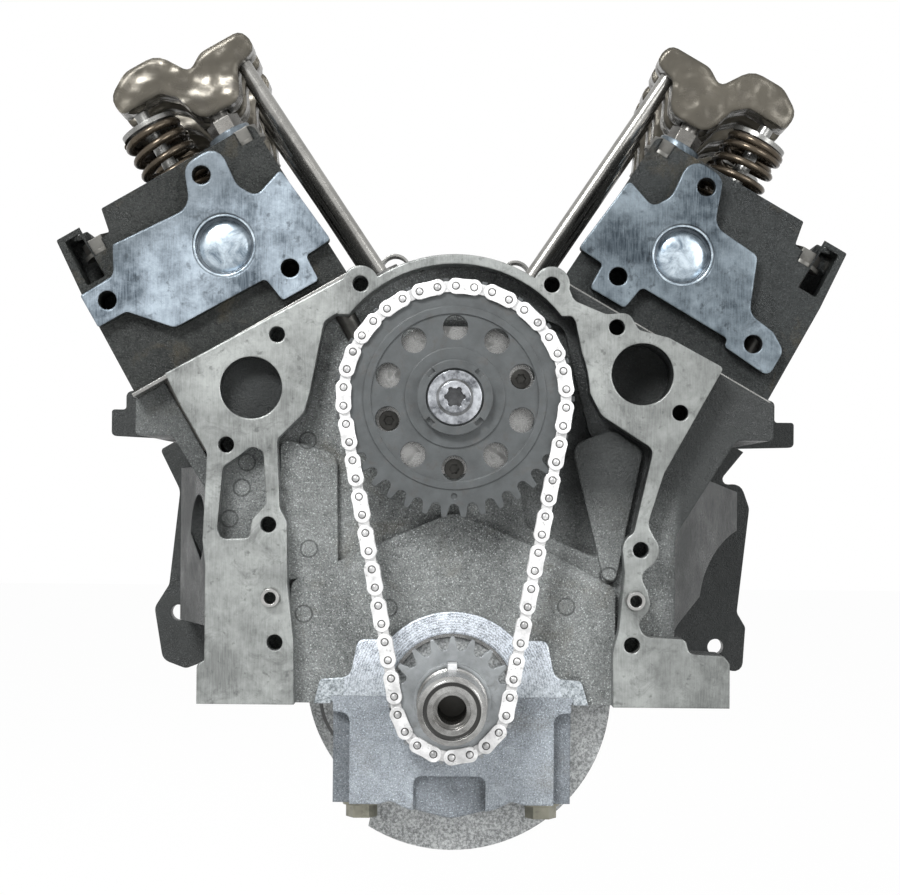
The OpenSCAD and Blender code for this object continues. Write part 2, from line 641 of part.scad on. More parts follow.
cap_step = 1.5;
module cap_2d(narrow) {
    w = narrow ? 54 : cap_half - 1;
    rounded([[-cap_half, 0, 0], [-cap_half, cap_step - rail_drop, 0],
        [-cap_half + 1, cap_step - rail_drop - 1, 0], [-cap_half + 1, -8, narrow ? 1 : 0],
        [-w, -9, narrow ? 5 : 0], [-w, -cap_deep, 0],
        [-38, -cap_deep, 2], [-32, -cap_deep + 2, 4], [-24, -cap_deep - 2, 6], [0, -cap_deep - 8, 20],
        [24, -cap_deep - 2, 6], [32, -cap_deep + 2, 4], [38, -cap_deep, 2], [w, -cap_deep, 0],
        [w, -9, narrow ? 5 : 0], [cap_half - 1, -8, narrow ? 1 : 0],
        [cap_half - 1, cap_step - rail_drop - 1, 0], [cap_half, cap_step - rail_drop, 0], [cap_half, 0, 0]]);
}

module cap_bolt_holes(k)
    for (x = [-cap_bolt_x, cap_bolt_x])
        translate([x, main_y(k), -cap_deep - 10]) cylinder(r = cap_bolt_r + bolt_gap, h = cap_deep + 12);

module front_main_cap() color(dark_steel) difference() {
    union() {
        section(front_main_y - bulkhead_t / 2, front_main_y + bulkhead_t / 2) cap_2d(false);
        section(boss_y, front_main_y) cap_2d(true);
    }
    rod_y(housing_r, boss_y - eps, front_main_y + bulkhead_t / 2 + eps);
    section(boss_y - eps, boss_y + 4) rounded([[-20, -80, 0], [-20, -42, 4], [18, -42, 4], [18, -80, 0]]);
    cap_bolt_holes(3);
}

module rear_main_caps() color(dark_steel) {
    for (k = [1, 2]) difference() {
        section(main_y(k) - bulkhead_t / 2, main_y(k) + bulkhead_t / 2) cap_2d(false);
        rod_y(housing_r, main_y(k) - bulkhead_t, main_y(k) + bulkhead_t);
        cap_bolt_holes(k);
    }
    difference() {
        section(rear_main_y - bulkhead_t / 2, rear_y) cap_2d(false);
        rod_y(housing_r, rear_main_y - bulkhead_t, rear_y);
        rod_y(flange_r + 2, rear_main_y + bulkhead_t / 2, rear_y + eps);
        cap_bolt_holes(0);
    }
}

cap_head_r = 10.2;
cap_hex_r = 8.4;
module flanged_bolt(r, shank, head_r, hex_r) {
    cylinder(r = r, h = shank);
    translate([0, 0, -2.2]) cylinder(r = head_r, h = 2.2);
    translate([0, 0, -9]) cylinder(r = hex_r, h = 7, $fn = 6);
}

module main_cap_bolts() color(bronze_steel)
    for (k = mains(), x = [-cap_bolt_x, cap_bolt_x])
        translate([x, main_y(k), -cap_deep]) flanged_bolt(cap_bolt_r, cap_deep + cap_bolt_deep - 6,
            cap_head_r, cap_hex_r);

// Half shell round the y axis, upper for up = 1
module half_shell(r_in, r_out, y0, y1, up) intersection() {
    difference() {
        rod_y(r_out, y0, y1);
        rod_y(r_in, y0 - 1, y1 + 1);
    }
    translate([-r_out - 1, y0 - 1, up > 0 ? 0 : -r_out - 1]) cube([2 * r_out + 2, y1 - y0 + 2, r_out + 1]);
}

shell_len = 22;
module main_bearing_shells() color(steel)
    for (k = mains(), up = [-1, 1])
        half_shell(main_r + run_gap, housing_r, main_y(k) - shell_len / 2, main_y(k) + shell_len / 2, up);

module cam_bearings() color(steel)
    for (k = mains()) at_xz([0, cam_z]) difference() {
        rod_y(cam_housing_r, main_y(k) - cam_bearing_half, main_y(k) + cam_bearing_half);
        rod_y(cam_journal_r + run_gap, main_y(k) - 20, main_y(k) + 20);
    }

thrust_y = wall_y - thrust_stand;
module cam_thrust_plate() color(steel) at_xz([0, cam_z]) difference() {
    section(thrust_y - thrust_t, thrust_y) intersection() {
        circle(thrust_r);
        square([2 * thrust_r, 2 * thrust_r - 8], center = true);
    }
    rod_y(thrust_hole_r + 0.3, thrust_y - 10, thrust_y + 1);
    for (a = screw_at) at_xz(screw_on_r * [cos(a), sin(a)]) rod_y(screw_r + 0.2, thrust_y - 10, thrust_y + 1);
}

module thrust_plate_screws() color(dark_steel)
    for (a = screw_at)
        at_xz([screw_on_r * cos(a), cam_z + screw_on_r * sin(a)]) difference() {
            union() {
                rod_y(screw_r - 0.05, thrust_y - thrust_t, wall_y + 7);
                rod_y(5.2, thrust_y - thrust_t - 4, thrust_y - thrust_t);
            }
            section(thrust_y - thrust_t - 5, thrust_y - thrust_t - 2) star(2.6);
        }

// Six-lobed recess
module star(r) {
    circle(r * 0.82, $fn = 24);
    for (a = [0:60:300]) rotate(a) translate([r * 0.8, 0]) circle(r * 0.24, $fn = 24);
}

gasket_ease = 0.002;
module head_gaskets() color(steel)
    for (side = [-1, 1]) on_bank(side, side > 0 ? right_head_y : left_head_y) difference() {
        translate([deck_in + 0.5, -head_len / 2 + 1, deck_v + gasket_ease])
            cube([deck_out - deck_in - 1.5, head_len - 2, gasket_t - 2 * gasket_ease]);
        for (n = [-1, 0, 1]) translate([0, n * bore_pitch, deck_v - eps])
            cylinder(r = bore_d / 2 + 0.8, h = gasket_t + 2 * eps);
        for (y = head_bolt_y, u = [head_bolt_in, head_bolt_out])
            translate([u, y, deck_v - eps]) cylinder(r = head_bolt_r + bolt_gap, h = gasket_t + 2 * eps);
    }

// Straight port from a valve pocket out through a side of the head
module port(from, to, r) {
    d = to - from;
    translate([from[0], 0, from[1]]) rotate([0, atan2(d[0], d[1]), 0]) cylinder(r = r, h = norm(d));
}

chamber_v = head_v + chamber_deep;
guide_v = chamber_v + 18;
seat_fit = 0.04;
module valve_pocket(r) rotate_extrude()
    polygon([[0, chamber_v - 1], [r + seat_fit, chamber_v - 1], [r + seat_fit, chamber_v + 1.7],
        [r - 3 + seat_fit, chamber_v + 4.7], [r - 3 + seat_fit, guide_v], [0, guide_v]]);

module head_end(pts)
    translate([0, 0, head_v]) section(-head_len / 2, -head_len / 2 + end_step + eps) rounded(pts);
module head_end_hole(p, r, deep)
    translate([0, 0, head_v]) at_xz(p) rod_y(r, -head_len / 2 - eps, -head_len / 2 + deep);

module head_casting() difference() {
    union() {
        translate([0, 0, head_v])
            section(-head_len / 2 + end_step, head_len / 2 - end_step) rounded(head_outline);
        head_end(concat(plug_face, second_end));
        mirror([0, 1, 0]) head_end(concat(plug_face, first_end));
        for (n = [-1, 0, 1], e = [-1, 1])
            translate([pivot_u, n * bore_pitch + e * valve_spread, rail_v - eps])
                cylinder(r = pad_stand_r, h = pad_stand_v - rail_v + eps);
    }
    translate([well_in, -head_len / 2 + well_end, seat_v])
        cube([well_out - well_in, head_len - 2 * well_end, 40]);
    for (n = [-1, 0, 1]) translate([0, n * bore_pitch, 0]) {
        translate([0, 0, head_v - eps]) cylinder(r = chamber_r, h = chamber_deep + eps);
        for (e = [-1, 1]) translate([0, e * valve_spread, 0]) {
            translate([valve_u, 0, 0]) {
                valve_pocket(e < 0 ? intake_r : exhaust_r);
                translate([0, 0, chamber_v]) cylinder(r = stem_r + 0.05, h = 90);
            }
            translate([pivot_u, 0, pad_stand_v - 28]) cylinder(r = rocker_bolt_r + 0.05, h = 40);
        }
        translate([0, -valve_spread, 0])
            port([valve_u, chamber_v + 12], [-74, chamber_v + 50], intake_port_r);
        translate([0, valve_spread, 0])
            port([valve_u, chamber_v + 12], [78, chamber_v + 31], exhaust_port_r);
    }
    for (y = head_bolt_y) {
        for (u = [head_bolt_in, head_bolt_out])
            translate([u, y, head_v - eps]) cylinder(r = head_bolt_r + bolt_gap, h = rail_v - head_v + 10);
        translate([head_bolt_out, y, head_v + bolt_seat_out]) cylinder(r = 10.6, h = 40);
        translate([head_bolt_in, y, head_v + bolt_seat_in]) cylinder(r = 10.6, h = 20);
    }
    for (m = [0, 1]) mirror([0, m, 0]) {
        head_end_hole(tab_hole, head_hole_r, head_hole_deep);
        head_end_hole(foot_hole, head_hole_r, head_hole_deep);
        head_end_hole(plug_at, head_plug_r, plug_deep);
        translate([0, 0, head_v])
            section(-head_len / 2 - eps, -head_len / 2 + end_step + 24) rounded(lug_pocket);
    }
    head_end_hole(second_hole, head_hole_r, head_hole_deep);
    mirror([0, 1, 0]) head_end_hole(first_hole, head_hole_r, head_hole_deep);
}
rocker_bolt_r = 4;

module left_cylinder_head() color(iron) on_bank(-1, left_head_y) head_casting();
module right_cylinder_head() color(iron) on_bank(1, right_head_y) head_casting();

module head_bolts() color(dark_steel)
    for (side = [-1, 1]) on_bank(side, side > 0 ? right_head_y : left_head_y)
        for (y = head_bolt_y, p = [[head_bolt_in, bolt_seat_in], [head_bolt_out, bolt_seat_out]])
            translate([p[0], y, head_v + p[1]]) rotate([180, 0, 0])
                flanged_bolt(head_bolt_r, gasket_t + p[1] + head_bolt_deep - 6, 10, 8.2);

// Pressed cup with a domed floor, opening at z = 0
module core_plug(r, deep) difference() {
    translate([0, 0, -deep]) cylinder(r = r, h = deep - 1);
    translate([0, 0, -deep + 5]) cylinder(r = r - 1.5, h = deep);
    translate([0, 0, -deep + 4]) cylinder(r = r - 3, h = 3);
}

module core_plugs() color(zinc) {
    for (side = [-1, 1]) {
        on_bank(side, side > 0 ? right_head_y : left_head_y)
            for (m = [0, 1]) mirror([0, m, 0])
                translate([plug_at[0], -head_len / 2, head_v + plug_at[1]]) rotate([90, 0, 0])
                    core_plug(head_plug_r, plug_deep);
        for (n = rows())
            in_bank(side) translate([block_plug_face, cyl_y(side, n), block_plug_v]) rotate([0, 90, 0])
                core_plug(block_plug_r, block_plug_deep);
    }
}
block_plug_face = 62;

module cover_dowels() color(steel)
    for (p = dowels) at_xz(p) difference() {
        union() {
            rod_y(dowel_r, front_y - dowel_stand, front_y);
            rod_y(dowel_seat_r, front_y, front_y + dowel_deep);
        }
        rod_y(dowel_r - 1.6, front_y - dowel_stand - 1, front_y + dowel_deep + 1);
    }

// Half turns of wire, each tipped so that it climbs half a pitch. Every second one is a hair
// thinner and runs on a little way inside its neighbours, so that they join as one wire.
wire_step = 0.03;
run_on = 3;
module spring(drop = 0) {
    low = seat_v + wire_r;
    climb = (retainer_v - drop - seat_v - 2 * wire_r - 0.1) / (2 * spring_turns);
    tip = atan(climb / (2 * spring_r));
    for (i = [0:2 * spring_turns - 1]) {
        odd = i % 2;
        translate([0, 0, low + (i + 0.5) * climb]) rotate([0, tip - 2 * odd * tip, 0])
            rotate([0, 0, odd * (180 - run_on)]) rotate_extrude(angle = 180 + 2 * odd * run_on)
                translate([spring_r / cos(tip), 0]) circle(wire_r - odd * wire_step, $fn = 24);
    }
}

module front_valve_springs() color(bronze_steel)
    for (side = [-1, 1], e = [-1, 1])
        on_bank(side, cyl_y(side, 0) + e * valve_spread) translate([valve_u, 0, 0]) spring();
module rear_valve_springs() color(bronze_steel)
    rear_sets() translate([valve_u, 0, 0]) spring($swing > 0 ? valve_lift : 0);

fulcrum_half = rocker_w / 2 - rocker_wall - 0.3;
stand_r = 5.4;
module rocker_fulcrums() color(steel) sides_rows() translate([pivot_u, 0, pivot_v]) difference() {
    union() {
        intersection() {
            rod_y(fulcrum_r, -fulcrum_half, fulcrum_half);
            translate([-20, -20, -20]) cube([40, 40, 25]);
        }
        translate([0, 0, pad_stand_v - pivot_v]) cylinder(r = stand_r, h = pivot_v - pad_stand_v);
        translate([0, 0, pad_stand_v - pivot_v]) cylinder(r = 9.4, h = 8, $fn = 6);
    }
    translate([0, 0, -30]) cylinder(r = rocker_bolt_r + 0.2, h = 40);
}

rocker_bolt_deep = 18;
module rocker_bolts() color(dark_steel) sides_rows() translate([pivot_u, 0, pivot_v + 5])
    rotate([180, 0, 0]) flanged_bolt(rocker_bolt_r, pivot_v + 5 - pad_stand_v + rocker_bolt_deep, 7.4, 6.2);

// Rocker arm about its pivot: pressed trough, round boss, pushrod socket and valve pad
rocker_outline = [[45.5, 12.3, 3], [46.5, 23, 9], [33, 31.5, 12], [13, 31.5, 12], [2, 14.5, 4],
    [-8, 20.8, 10], [-33, 20.8, 6], [-36.5, 8, 6], [-22, 5, 6], [-14.5, -11.8, 9], [9, -11.8, 9],
    [14.5, 6, 6], [22, 12.5, 6], [40, 12.5, 2]];
trough = [[42.6, 15.6, 3], [42.6, 40, 0], [-12, 40, 0], [-9.04, 0, 0], [9.04, 0, 0], [9.6, 6, 3], [18, 15.6, 5]];
socket_clear = 0.5;
module rocker() difference() {
    union() {
        difference() {
            section(-rocker_w / 2, rocker_w / 2) rounded(rocker_outline, 3);
            section(-rocker_w / 2 + rocker_wall, rocker_w / 2 - rocker_wall) {
                circle(fulcrum_r + run_gap);
                rounded(trough, 3);
            }
        }
        intersection() {
            at_xz([pad_u, pad_v]) rod_y(pad_r, -5, 5);
            translate([20, -10, 0]) cube([30, 20, 17]);
        }
    }
    translate([-stand_r - 0.8, -stand_r - 0.4, -20]) cube([2 * stand_r + 4.2, 2 * stand_r + 0.8, 20]);
    translate([socket_u, 0, socket_v]) sphere(pushrod_r + socket_clear);
    translate([socket_u, 0, socket_v]) rotate([0, 180 + pushrod_lean(0), 0])
        cylinder(r1 = pushrod_r + socket_clear, r2 = pushrod_r + 3, h = 8);
}

module place_rocker(a) translate([pivot_u, 0, pivot_v]) rotate([0, a, 0]) rocker();

valve_bottom = chamber_v + 0.2;
module valve(r, drop) translate([valve_u, 0, -drop]) {
    rotate_extrude() polygon([[0, valve_bottom], [r, valve_bottom], [r, valve_bottom + 1.5],
        [r - 3, valve_bottom + 4.5], [7, valve_bottom + 9], [stem_r, valve_bottom + 16],
        [stem_r, tip_v], [0, tip_v]]);
    difference() {
        translate([0, 0, retainer_v]) cylinder(r = 15.6, h = 2.6);
        translate([0, 0, retainer_v]) cylinder(r = 6, h = 10, center = true);
    }
    difference() {
        translate([0, 0, retainer_v - 4]) cylinder(r = 11.4, h = 4);
        translate([0, 0, retainer_v - 5]) cylinder(r = 6, h = 10);
    }
    difference() {
        translate([0, 0, retainer_v - 4]) cylinder(r = 6, h = 7.6);
        translate([0, 0, retainer_v - 5]) cylinder(r = stem_r, h = 10);
    }
}

module pushrod(a) translate([lifter_u, 0, ball_v + lifter_lift(a)]) rotate([0, pushrod_lean(a), 0]) {
    sphere(pushrod_r);
    translate([0, 0, pushrod_len]) sphere(pushrod_r);
    cylinder(r = pushrod_r, h = pushrod_len);
}

lifter_top = 3;
module lifter(a) translate([lifter_u, 0, cam_v + lifter_lift(a)]) {
    roller_d = lobe_r + roller_r + 0.05;
    difference() {
        translate([0, 0, roller_d - 1]) cylinder(r = lifter_r, h = ball_v - cam_v + lifter_top - roller_d + 1);
        translate([-20, -5, roller_d - 2]) cube([40, 10, roller_r + 3]);
        translate([0, 0, ball_v - cam_v]) sphere(pushrod_r + 0.04);
        translate([0, 0, ball_v - cam_v]) cylinder(r = pushrod_r + 1.4, h = 10);
        for (s = [-1, 1]) translate([s * (lifter_r - 1.2) - 5 + s * 5, -10, ball_v - cam_v - 14])
            cube([10, 20, 30]);
    }
    at_xz([0, roller_d]) {
        rod_y(roller_r, -4.6, 4.6);
        rod_y(2.6, -5, 5);
    }
}

function rear_lift(side, n, e) =
    let (centre = (side > 0 ? e < 0 : e > 0) ? intake_centre : exhaust_centre,
        off = abs(fold(fold((rest_turn + (side > 0 ? right_cycle[n] : left_cycle[n]) - centre) / 2))))
    off < 1 ? rocker_open : 0;
function is_intake(side, e) = side > 0 ? e < 0 : e > 0;

module rear_sets()
    for (side = [-1, 1], n = [1, 2], e = [-1, 1])
        on_bank(side, cyl_y(side, n) + e * valve_spread) {
            $swing = rear_lift(side, n, e);
            $head_r = is_intake(side, e) ? intake_r : exhaust_r;
            children();
        }
module rear_rocker_arms() color(bronze_steel) rear_sets() place_rocker($swing);
module rear_pushrods() color(steel) rear_sets() pushrod($swing);
module rear_lifters() color(steel) rear_sets() lifter($swing);
module rear_valves() color(steel) rear_sets() valve($head_r, $swing > 0 ? valve_lift : 0);

module front_set(side, e) on_bank(side, cyl_y(side, 0) + e * valve_spread) children();
module rocker_1_exhaust() color(bronze_steel) front_set(-1, -1) place_rocker(0);
module rocker_1_intake() color(bronze_steel) front_set(-1, 1) place_rocker(0);
module rocker_4_intake() color(bronze_steel) front_set(1, -1) place_rocker(0);
module rocker_4_exhaust() color(bronze_steel) front_set(1, 1) place_rocker(0);
module valve_1_exhaust() color(steel) front_set(-1, -1) valve(exhaust_r, 0);
module valve_1_intake() color(steel) front_set(-1, 1) valve(intake_r, 0);
module valve_4_intake() color(steel) front_set(1, -1) valve(intake_r, 0);
module valve_4_exhaust() color(steel) front_set(1, 1) valve(exhaust_r, 0);
module pushrod_1_exhaust() color(steel) front_set(-1, -1) pushrod(0);
module pushrod_1_intake() color(steel) front_set(-1, 1) pushrod(0);
module pushrod_4_intake() color(steel) front_set(1, -1) pushrod(0);
module pushrod_4_exhaust() color(steel) front_set(1, 1) pushrod(0);
module lifter_1_exhaust() color(steel) front_set(-1, -1) lifter(0);
module lifter_1_intake() color(steel) front_set(-1, 1) lifter(0);
module lifter_4_intake() color(steel) front_set(1, -1) lifter(0);
module lifter_4_exhaust() color(steel) front_set(1, 1) lifter(0);

// Guide plates round each pair of lifters, and the sprung retainer that holds them down
guide_t = 3.6;
guide_r = 13.5;
spider_half = 21;
spider_t = 1.5;
hoop_r = 8.6;
hoop_v = boss_top_v + guide_t + hoop_r - 0.4;
spider_tab = bank_xz(lifter_u - 8, hoop_v)[0] - 0.55 * hoop_r;
module lifter_guides() color(steel) {
    for (side = [-1, 1], n = rows())
        in_bank(side) translate([lifter_u, cyl_y(side, n), boss_top_v]) difference() {
            union() {
                for (e = [-1, 1]) translate([0, e * valve_spread, 0]) cylinder(r = guide_r, h = guide_t);
                translate([-guide_r, -valve_spread, 0]) cube([2 * guide_r, 2 * valve_spread, guide_t]);
            }
            for (e = [-1, 1]) translate([0, e * valve_spread, -1]) cylinder(r = lifter_r + 0.2, h = guide_t + 2);
        }
    z = bank_xz(boss_in, boss_top_v)[1];
    translate([-spider_half, cyl_y(-1, 0) - 10, z])
        cube([2 * spider_half, cyl_y(1, 2) - cyl_y(-1, 0) + 20, spider_t]);
    for (side = [-1, 1], n = rows()) {
        translate([side > 0 ? 0 : -spider_tab, cyl_y(side, n) - 6, z]) cube([spider_tab, 12, spider_t]);
        in_bank(side) translate([lifter_u - 8, cyl_y(side, n), hoop_v]) difference() {
            rod_y(hoop_r, -6, 6);
            rod_y(hoop_r - spider_t, -7, 7);
        }
    }
}

module rear_main_seal() color([0.08, 0.08, 0.08]) difference() {
    rod_y(flange_r + 2, rear_main_y + bulkhead_t / 2 + 4, rear_y - 6);
    rod_y(seal_r + 0.1, rear_main_y, 1);
}

module plate_2d() {
    for (x = [-chain_pitch / 2, chain_pitch / 2]) translate([x, 0]) circle(plate_h / 2, $fn = 24);
    square([chain_pitch, plate_h * 0.66], center = true);
}

module link_place(k) {
    a = bush(k);
    b = bush((k + 1) % chain_links);
    translate([(a[0] + b[0]) / 2, chain_y, (a[1] + b[1]) / 2])
        rotate([0, -atan2(b[1] - a[1], b[0] - a[0]), 0]) children();
}

plate_gap = 0.1;
link_play = 0.1;
module outer_link() {
    for (s = [0, 1]) mirror([0, s, 0])
        section(chain_inner + plate_t + plate_gap, chain_inner + 2 * plate_t + plate_gap) plate_2d();
    for (x = [-chain_pitch / 2, chain_pitch / 2]) translate([x, 0, 0])
        rod_y(link_pin_r, -chain_inner - 2 * plate_t - 0.9, chain_inner + 2 * plate_t + 0.9);
}
module inner_link() difference() {
    union() {
        for (s = [0, 1]) mirror([0, s, 0]) section(chain_inner, chain_inner + plate_t) plate_2d();
        for (x = [-chain_pitch / 2, chain_pitch / 2]) translate([x, 0, 0])
            rod_y(bush_r, -chain_inner, chain_inner, $fn = 24);
    }
    for (x = [-chain_pitch / 2, chain_pitch / 2]) translate([x, 0, 0])
        rod_y(link_pin_r + link_play, -9, 9);
}
module chain_outer_links() color(zinc) for (k = [0:2:chain_links - 1]) link_place(k) outer_link();
module chain_inner_links() color(steel) for (k = [1:2:chain_links - 1]) link_place(k) inner_link();

// Sprocket with a tooth gap at angle first
tooth_h = 4.3;
gap_r = bush_r + 0.12;
module teeth_2d(teeth, pitch_r, first, open = 1.5) difference() {
    circle(pitch_r + tooth_h, $fn = 96);
    for (i = [0:teeth - 1]) rotate(first + i * 360 / teeth) translate([pitch_r, 0]) {
        circle(gap_r, $fn = 24);
        polygon([[0, -gap_r], [tooth_h + 1, -gap_r - open], [tooth_h + 1, gap_r + open], [0, gap_r]]);
    }
}

sprocket_back = 0.4;
module crank_sprocket() color(dark_steel) difference() {
    union() {
        section(chain_y - tooth_t / 2, chain_y + tooth_t / 2) teeth_2d(crank_teeth, crank_pitch_r, -90, 2.6);
        rod_y(24, chain_y, journal_end_y - sprocket_back);
        rod_y(snout_seat_r + 1.6, chain_y - 9, chain_y);
    }
    rod_y(snout_seat_r, chain_y - 12, journal_end_y + 1);
    translate([-key_w / 2, chain_y - 12, snout_seat_r - 4])
        cube([key_w, journal_end_y - chain_y + 20, key_rise + 4.2]);
}

key_h = 5.6;
key_rise = 2.2;
key_back = chain_y + 12;
module crank_key() color(steel)
    translate([-key_w / 2, seat_y + 0.5, snout_seat_r + key_rise - key_h])
        cube([key_w, key_back - seat_y - 0.5, key_h]);

// Web with its counterweight, for a pin at angle a seen from the front
module web_2d(a, heavy_r) rotate(-a) {
    circle(38);
    translate([0, throw_r]) circle(35);
    polygon([[-38, 0], [38, 0], [34, throw_r], [-34, throw_r]]);
    intersection() {
        circle(heavy_r);
        rounded([[-34, 10, 6], [34, 10, 6], [95, -38, 10], [70, -110, 0], [-70, -110, 0], [-95, -38, 10]]);
    }
}

module crankshaft() color(dark_steel) difference() {
    union() {
        for (k = mains())
            rod_y(main_r, main_y(k) - main_len / 2 - (k == 3 ? 0 : 1), main_y(k) + main_len / 2 + 1);
        for (n = rows()) {
            y = front_main_y + n * bore_pitch + main_len / 2;
            a = pin_turn(-1, n);
            b = pin_turn(1, n);
            section(y, y + web_t) web_2d(a, weight_r);
            section(y + web_t + pin_len, y + web_t + pin_len + fly_t) {
                rotate(-a) translate([0, throw_r]) circle(33);
                rotate(-b) translate([0, throw_r]) circle(33);
                circle(34);
            }
            section(y + bore_pitch - main_len - web_t, y + bore_pitch - main_len) web_2d(b, weight_r);
            rotate([0, a, 0]) translate([0, 0, throw_r]) rod_y(pin_r, y + web_t - 1, y + web_t + pin_len + 1);
            rotate([0, b, 0]) translate([0, 0, throw_r])
                rod_y(pin_r, y + web_t + pin_len + fly_t - 1, y + web_t + 2 * pin_len + fly_t + 1);
        }
        rod_y(snout_r, snout_y + 2, seat_y + 1);
        rod_y(snout_seat_r, seat_y, journal_end_y);
        translate([0, snout_y + 2, 0]) rotate([90, 0, 0]) cylinder(r1 = snout_r, r2 = snout_r - 2, h = 2);
        rod_y(seal_r, -flange_t - seal_len - 1, -flange_t);
        rod_y(flange_r, -flange_t, 0);
    }
    rod_y(snout_hole_r, snout_y - 1, snout_y + snout_hole_deep);
    rod_y(9.4, snout_y - 1, snout_y + 7);
    rod_y(14.2, snout_y - 1, snout_y + 2);
    translate([-key_w / 2 - 0.02, seat_y, snout_seat_r + key_rise - key_h - 0.02])
        cube([key_w + 0.04, key_back + 1 - seat_y, 10]);
    for (i = [0:7]) rotate([0, i * 45 + 22.5, 0]) translate([0, 0, flywheel_bolt_circle_r])
        rod_y(flywheel_hole_r, -flange_t - 1, 1);
    rod_y(11, -18, 1);
}

module lobe_2d() {
    b = acos((lobe_r - nose_r) / nose_at);
    circle(lobe_r);
    translate([0, nose_at]) circle(nose_r);
    polygon([lobe_r * [sin(b), cos(b)], [0, nose_at] + nose_r * [sin(b), cos(b)],
        [0, nose_at] + nose_r * [-sin(b), cos(b)], lobe_r * [-sin(b), cos(b)]]);
}

hub_y = thrust_y - thrust_t - 0.15;
module camshaft() color(dark_steel) at_xz([0, cam_z]) difference() {
    union() {
        rod_y(12.5, thrust_y, rear_main_y + 12);
        for (k = mains())
            rod_y(cam_journal_r, k == 3 ? thrust_y + 0.1 : main_y(k) - cam_bearing_half - 0.5,
                main_y(k) + cam_bearing_half + 0.5);
        rod_y(thrust_hole_r, hub_y, thrust_y + 1);
        rod_y(10, hub_y - 10, hub_y);
        for (side = [-1, 1], n = rows(), e = [-1, 1]) {
            y = cyl_y(side, n) + e * valve_spread;
            section(y - lobe_w / 2, y + lobe_w / 2)
                rotate(-lobe_turn(side, n, is_intake(side, e) ? intake_centre : exhaust_centre)) lobe_2d();
        }
    }
    rod_y(cam_bolt_r + 0.1, hub_y - 11, hub_y + 30);
}
cam_bolt_r = 5.4;

web_front = chain_y - 3;
module cam_sprocket() color(dark_steel) at_xz([0, cam_z]) difference() {
    union() {
        section(chain_y - tooth_t / 2, chain_y + tooth_t / 2) teeth_2d(cam_teeth, cam_pitch_r, 90);
        rod_y(47.5, web_front, chain_y + 3);
        rod_y(19.5, web_front - 5, hub_y);
        rod_y(27, web_front, hub_y - 6);
    }
    rod_y(10.05, hub_y - 10.3, hub_y + 1);
    rod_y(cam_bolt_r + 0.2, web_front - 10, hub_y + 1);
    rod_y(15, web_front - 6, web_front - 2);
    for (i = [0:9]) at_xz(sprocket_holes_on_r * [cos(90 + 36 * i), sin(90 + 36 * i)])
        rod_y(sprocket_hole_r, web_front - 1, chain_y + 4);
    for (i = [0:3]) rotate([0, 45 + 90 * i, 0]) translate([-2.2, web_front - 6, 16.5]) cube([4.4, 3.5, 5]);
    at_xz([0, -51]) rod_y(1.6, web_front - 1, chain_y - 1);
    difference() {
        rod_y(43.5, web_front - 1, web_front + 1);
        rod_y(26, web_front - 2, web_front + 2);
    }
}

module cam_sprocket_bolt() color(zinc) at_xz([0, cam_z]) difference() {
    union() {
        rod_y(cam_bolt_r, web_front - 2, hub_y + 24);
        rod_y(14, web_front - 4.5, web_front - 2);
        rod_y(8.2, web_front - 10, web_front - 4.5);
    }
    section(web_front - 11, web_front - 5) star(5.4);
}

// Connecting rod on its crankpin: forging, cap, two bolts and two shells
rod_w = pin_len - 0.5;
big_r = pin_housing_r + 6.5;
small_r = wrist_r + wrist_play + 5.4;
rod_bolt_x = pin_housing_r + 6;
rod_bolt_r = 4.2;
module big_end_2d() {
    circle(big_r);
    for (m = [0, 1]) mirror([m, 0])
        rounded([[0, -24, 0], [rod_bolt_x + 6, -24, 4], [rod_bolt_x + 6, 15, 5], [20, 34, 8], [0, 34, 0]]);
}
module connecting_rod(side, n) {
    t = cyl_turn(side, n);
    rotate([0, pin_turn(side, n), 0]) translate([0, cyl_y(side, n), throw_r])
        rotate([0, side * half_vee - rest_lean(t) - pin_turn(side, n), 0]) {
            color(dark_steel) difference() {
                union() {
                    intersection() {
                        section(-rod_w / 2, rod_w / 2) big_end_2d();
                        translate([-60, -20, 0]) cube([120, 40, 60]);
                    }
                    section(-8, 8) polygon([[-17, 20], [17, 20], [11, rod_len - 8], [-11, rod_len - 8]]);
                    translate([0, 0, rod_len]) rod_y(small_r, -rod_w / 2, rod_w / 2);
                }
                rod_y(pin_housing_r, -20, 20);
                translate([0, 0, rod_len]) rod_y(wrist_r + wrist_play, -20, 20);
                for (m = [0, 1]) mirror([0, m, 0]) section(3.5, 20)
                    rounded([[-10.5, 44, 4], [10.5, 44, 4], [6.5, rod_len - 24, 4], [-6.5, rod_len - 24, 4]]);
                for (x = [-rod_bolt_x, rod_bolt_x])
                    translate([x, 0, -1]) cylinder(r = rod_bolt_r + 0.1, h = 22);
            }
            color(dark_steel) difference() {
                intersection() {
                    section(-rod_w / 2, rod_w / 2) big_end_2d();
                    translate([-60, -20, -60]) cube([120, 40, 60]);
                }
                rod_y(pin_housing_r, -20, 20);
                for (x = [-rod_bolt_x, rod_bolt_x])
                    translate([x, 0, -40]) cylinder(r = rod_bolt_r + 0.1, h = 41);
            }
            color(steel) for (x = [-rod_bolt_x, rod_bolt_x]) translate([x, 0, -24]) {
                cylinder(r = rod_bolt_r, h = 42);
                translate([0, 0, -6]) cylinder(r = 6, h = 6, $fn = 12);
            }
            color(steel) for (up = [-1, 1])
                half_shell(pin_r + run_gap, pin_housing_r, -rod_w / 2 + 1, rod_w / 2 - 1, up);
        }
}
module connecting_rod_1() connecting_rod(-1, 0);
module connecting_rod_2() connecting_rod(-1, 1);
module connecting_rod_3() connecting_rod(-1, 2);
module connecting_rod_4() connecting_rod(1, 0);
module connecting_rod_5() connecting_rod(1, 1);
module connecting_rod_6() connecting_rod(1, 2);

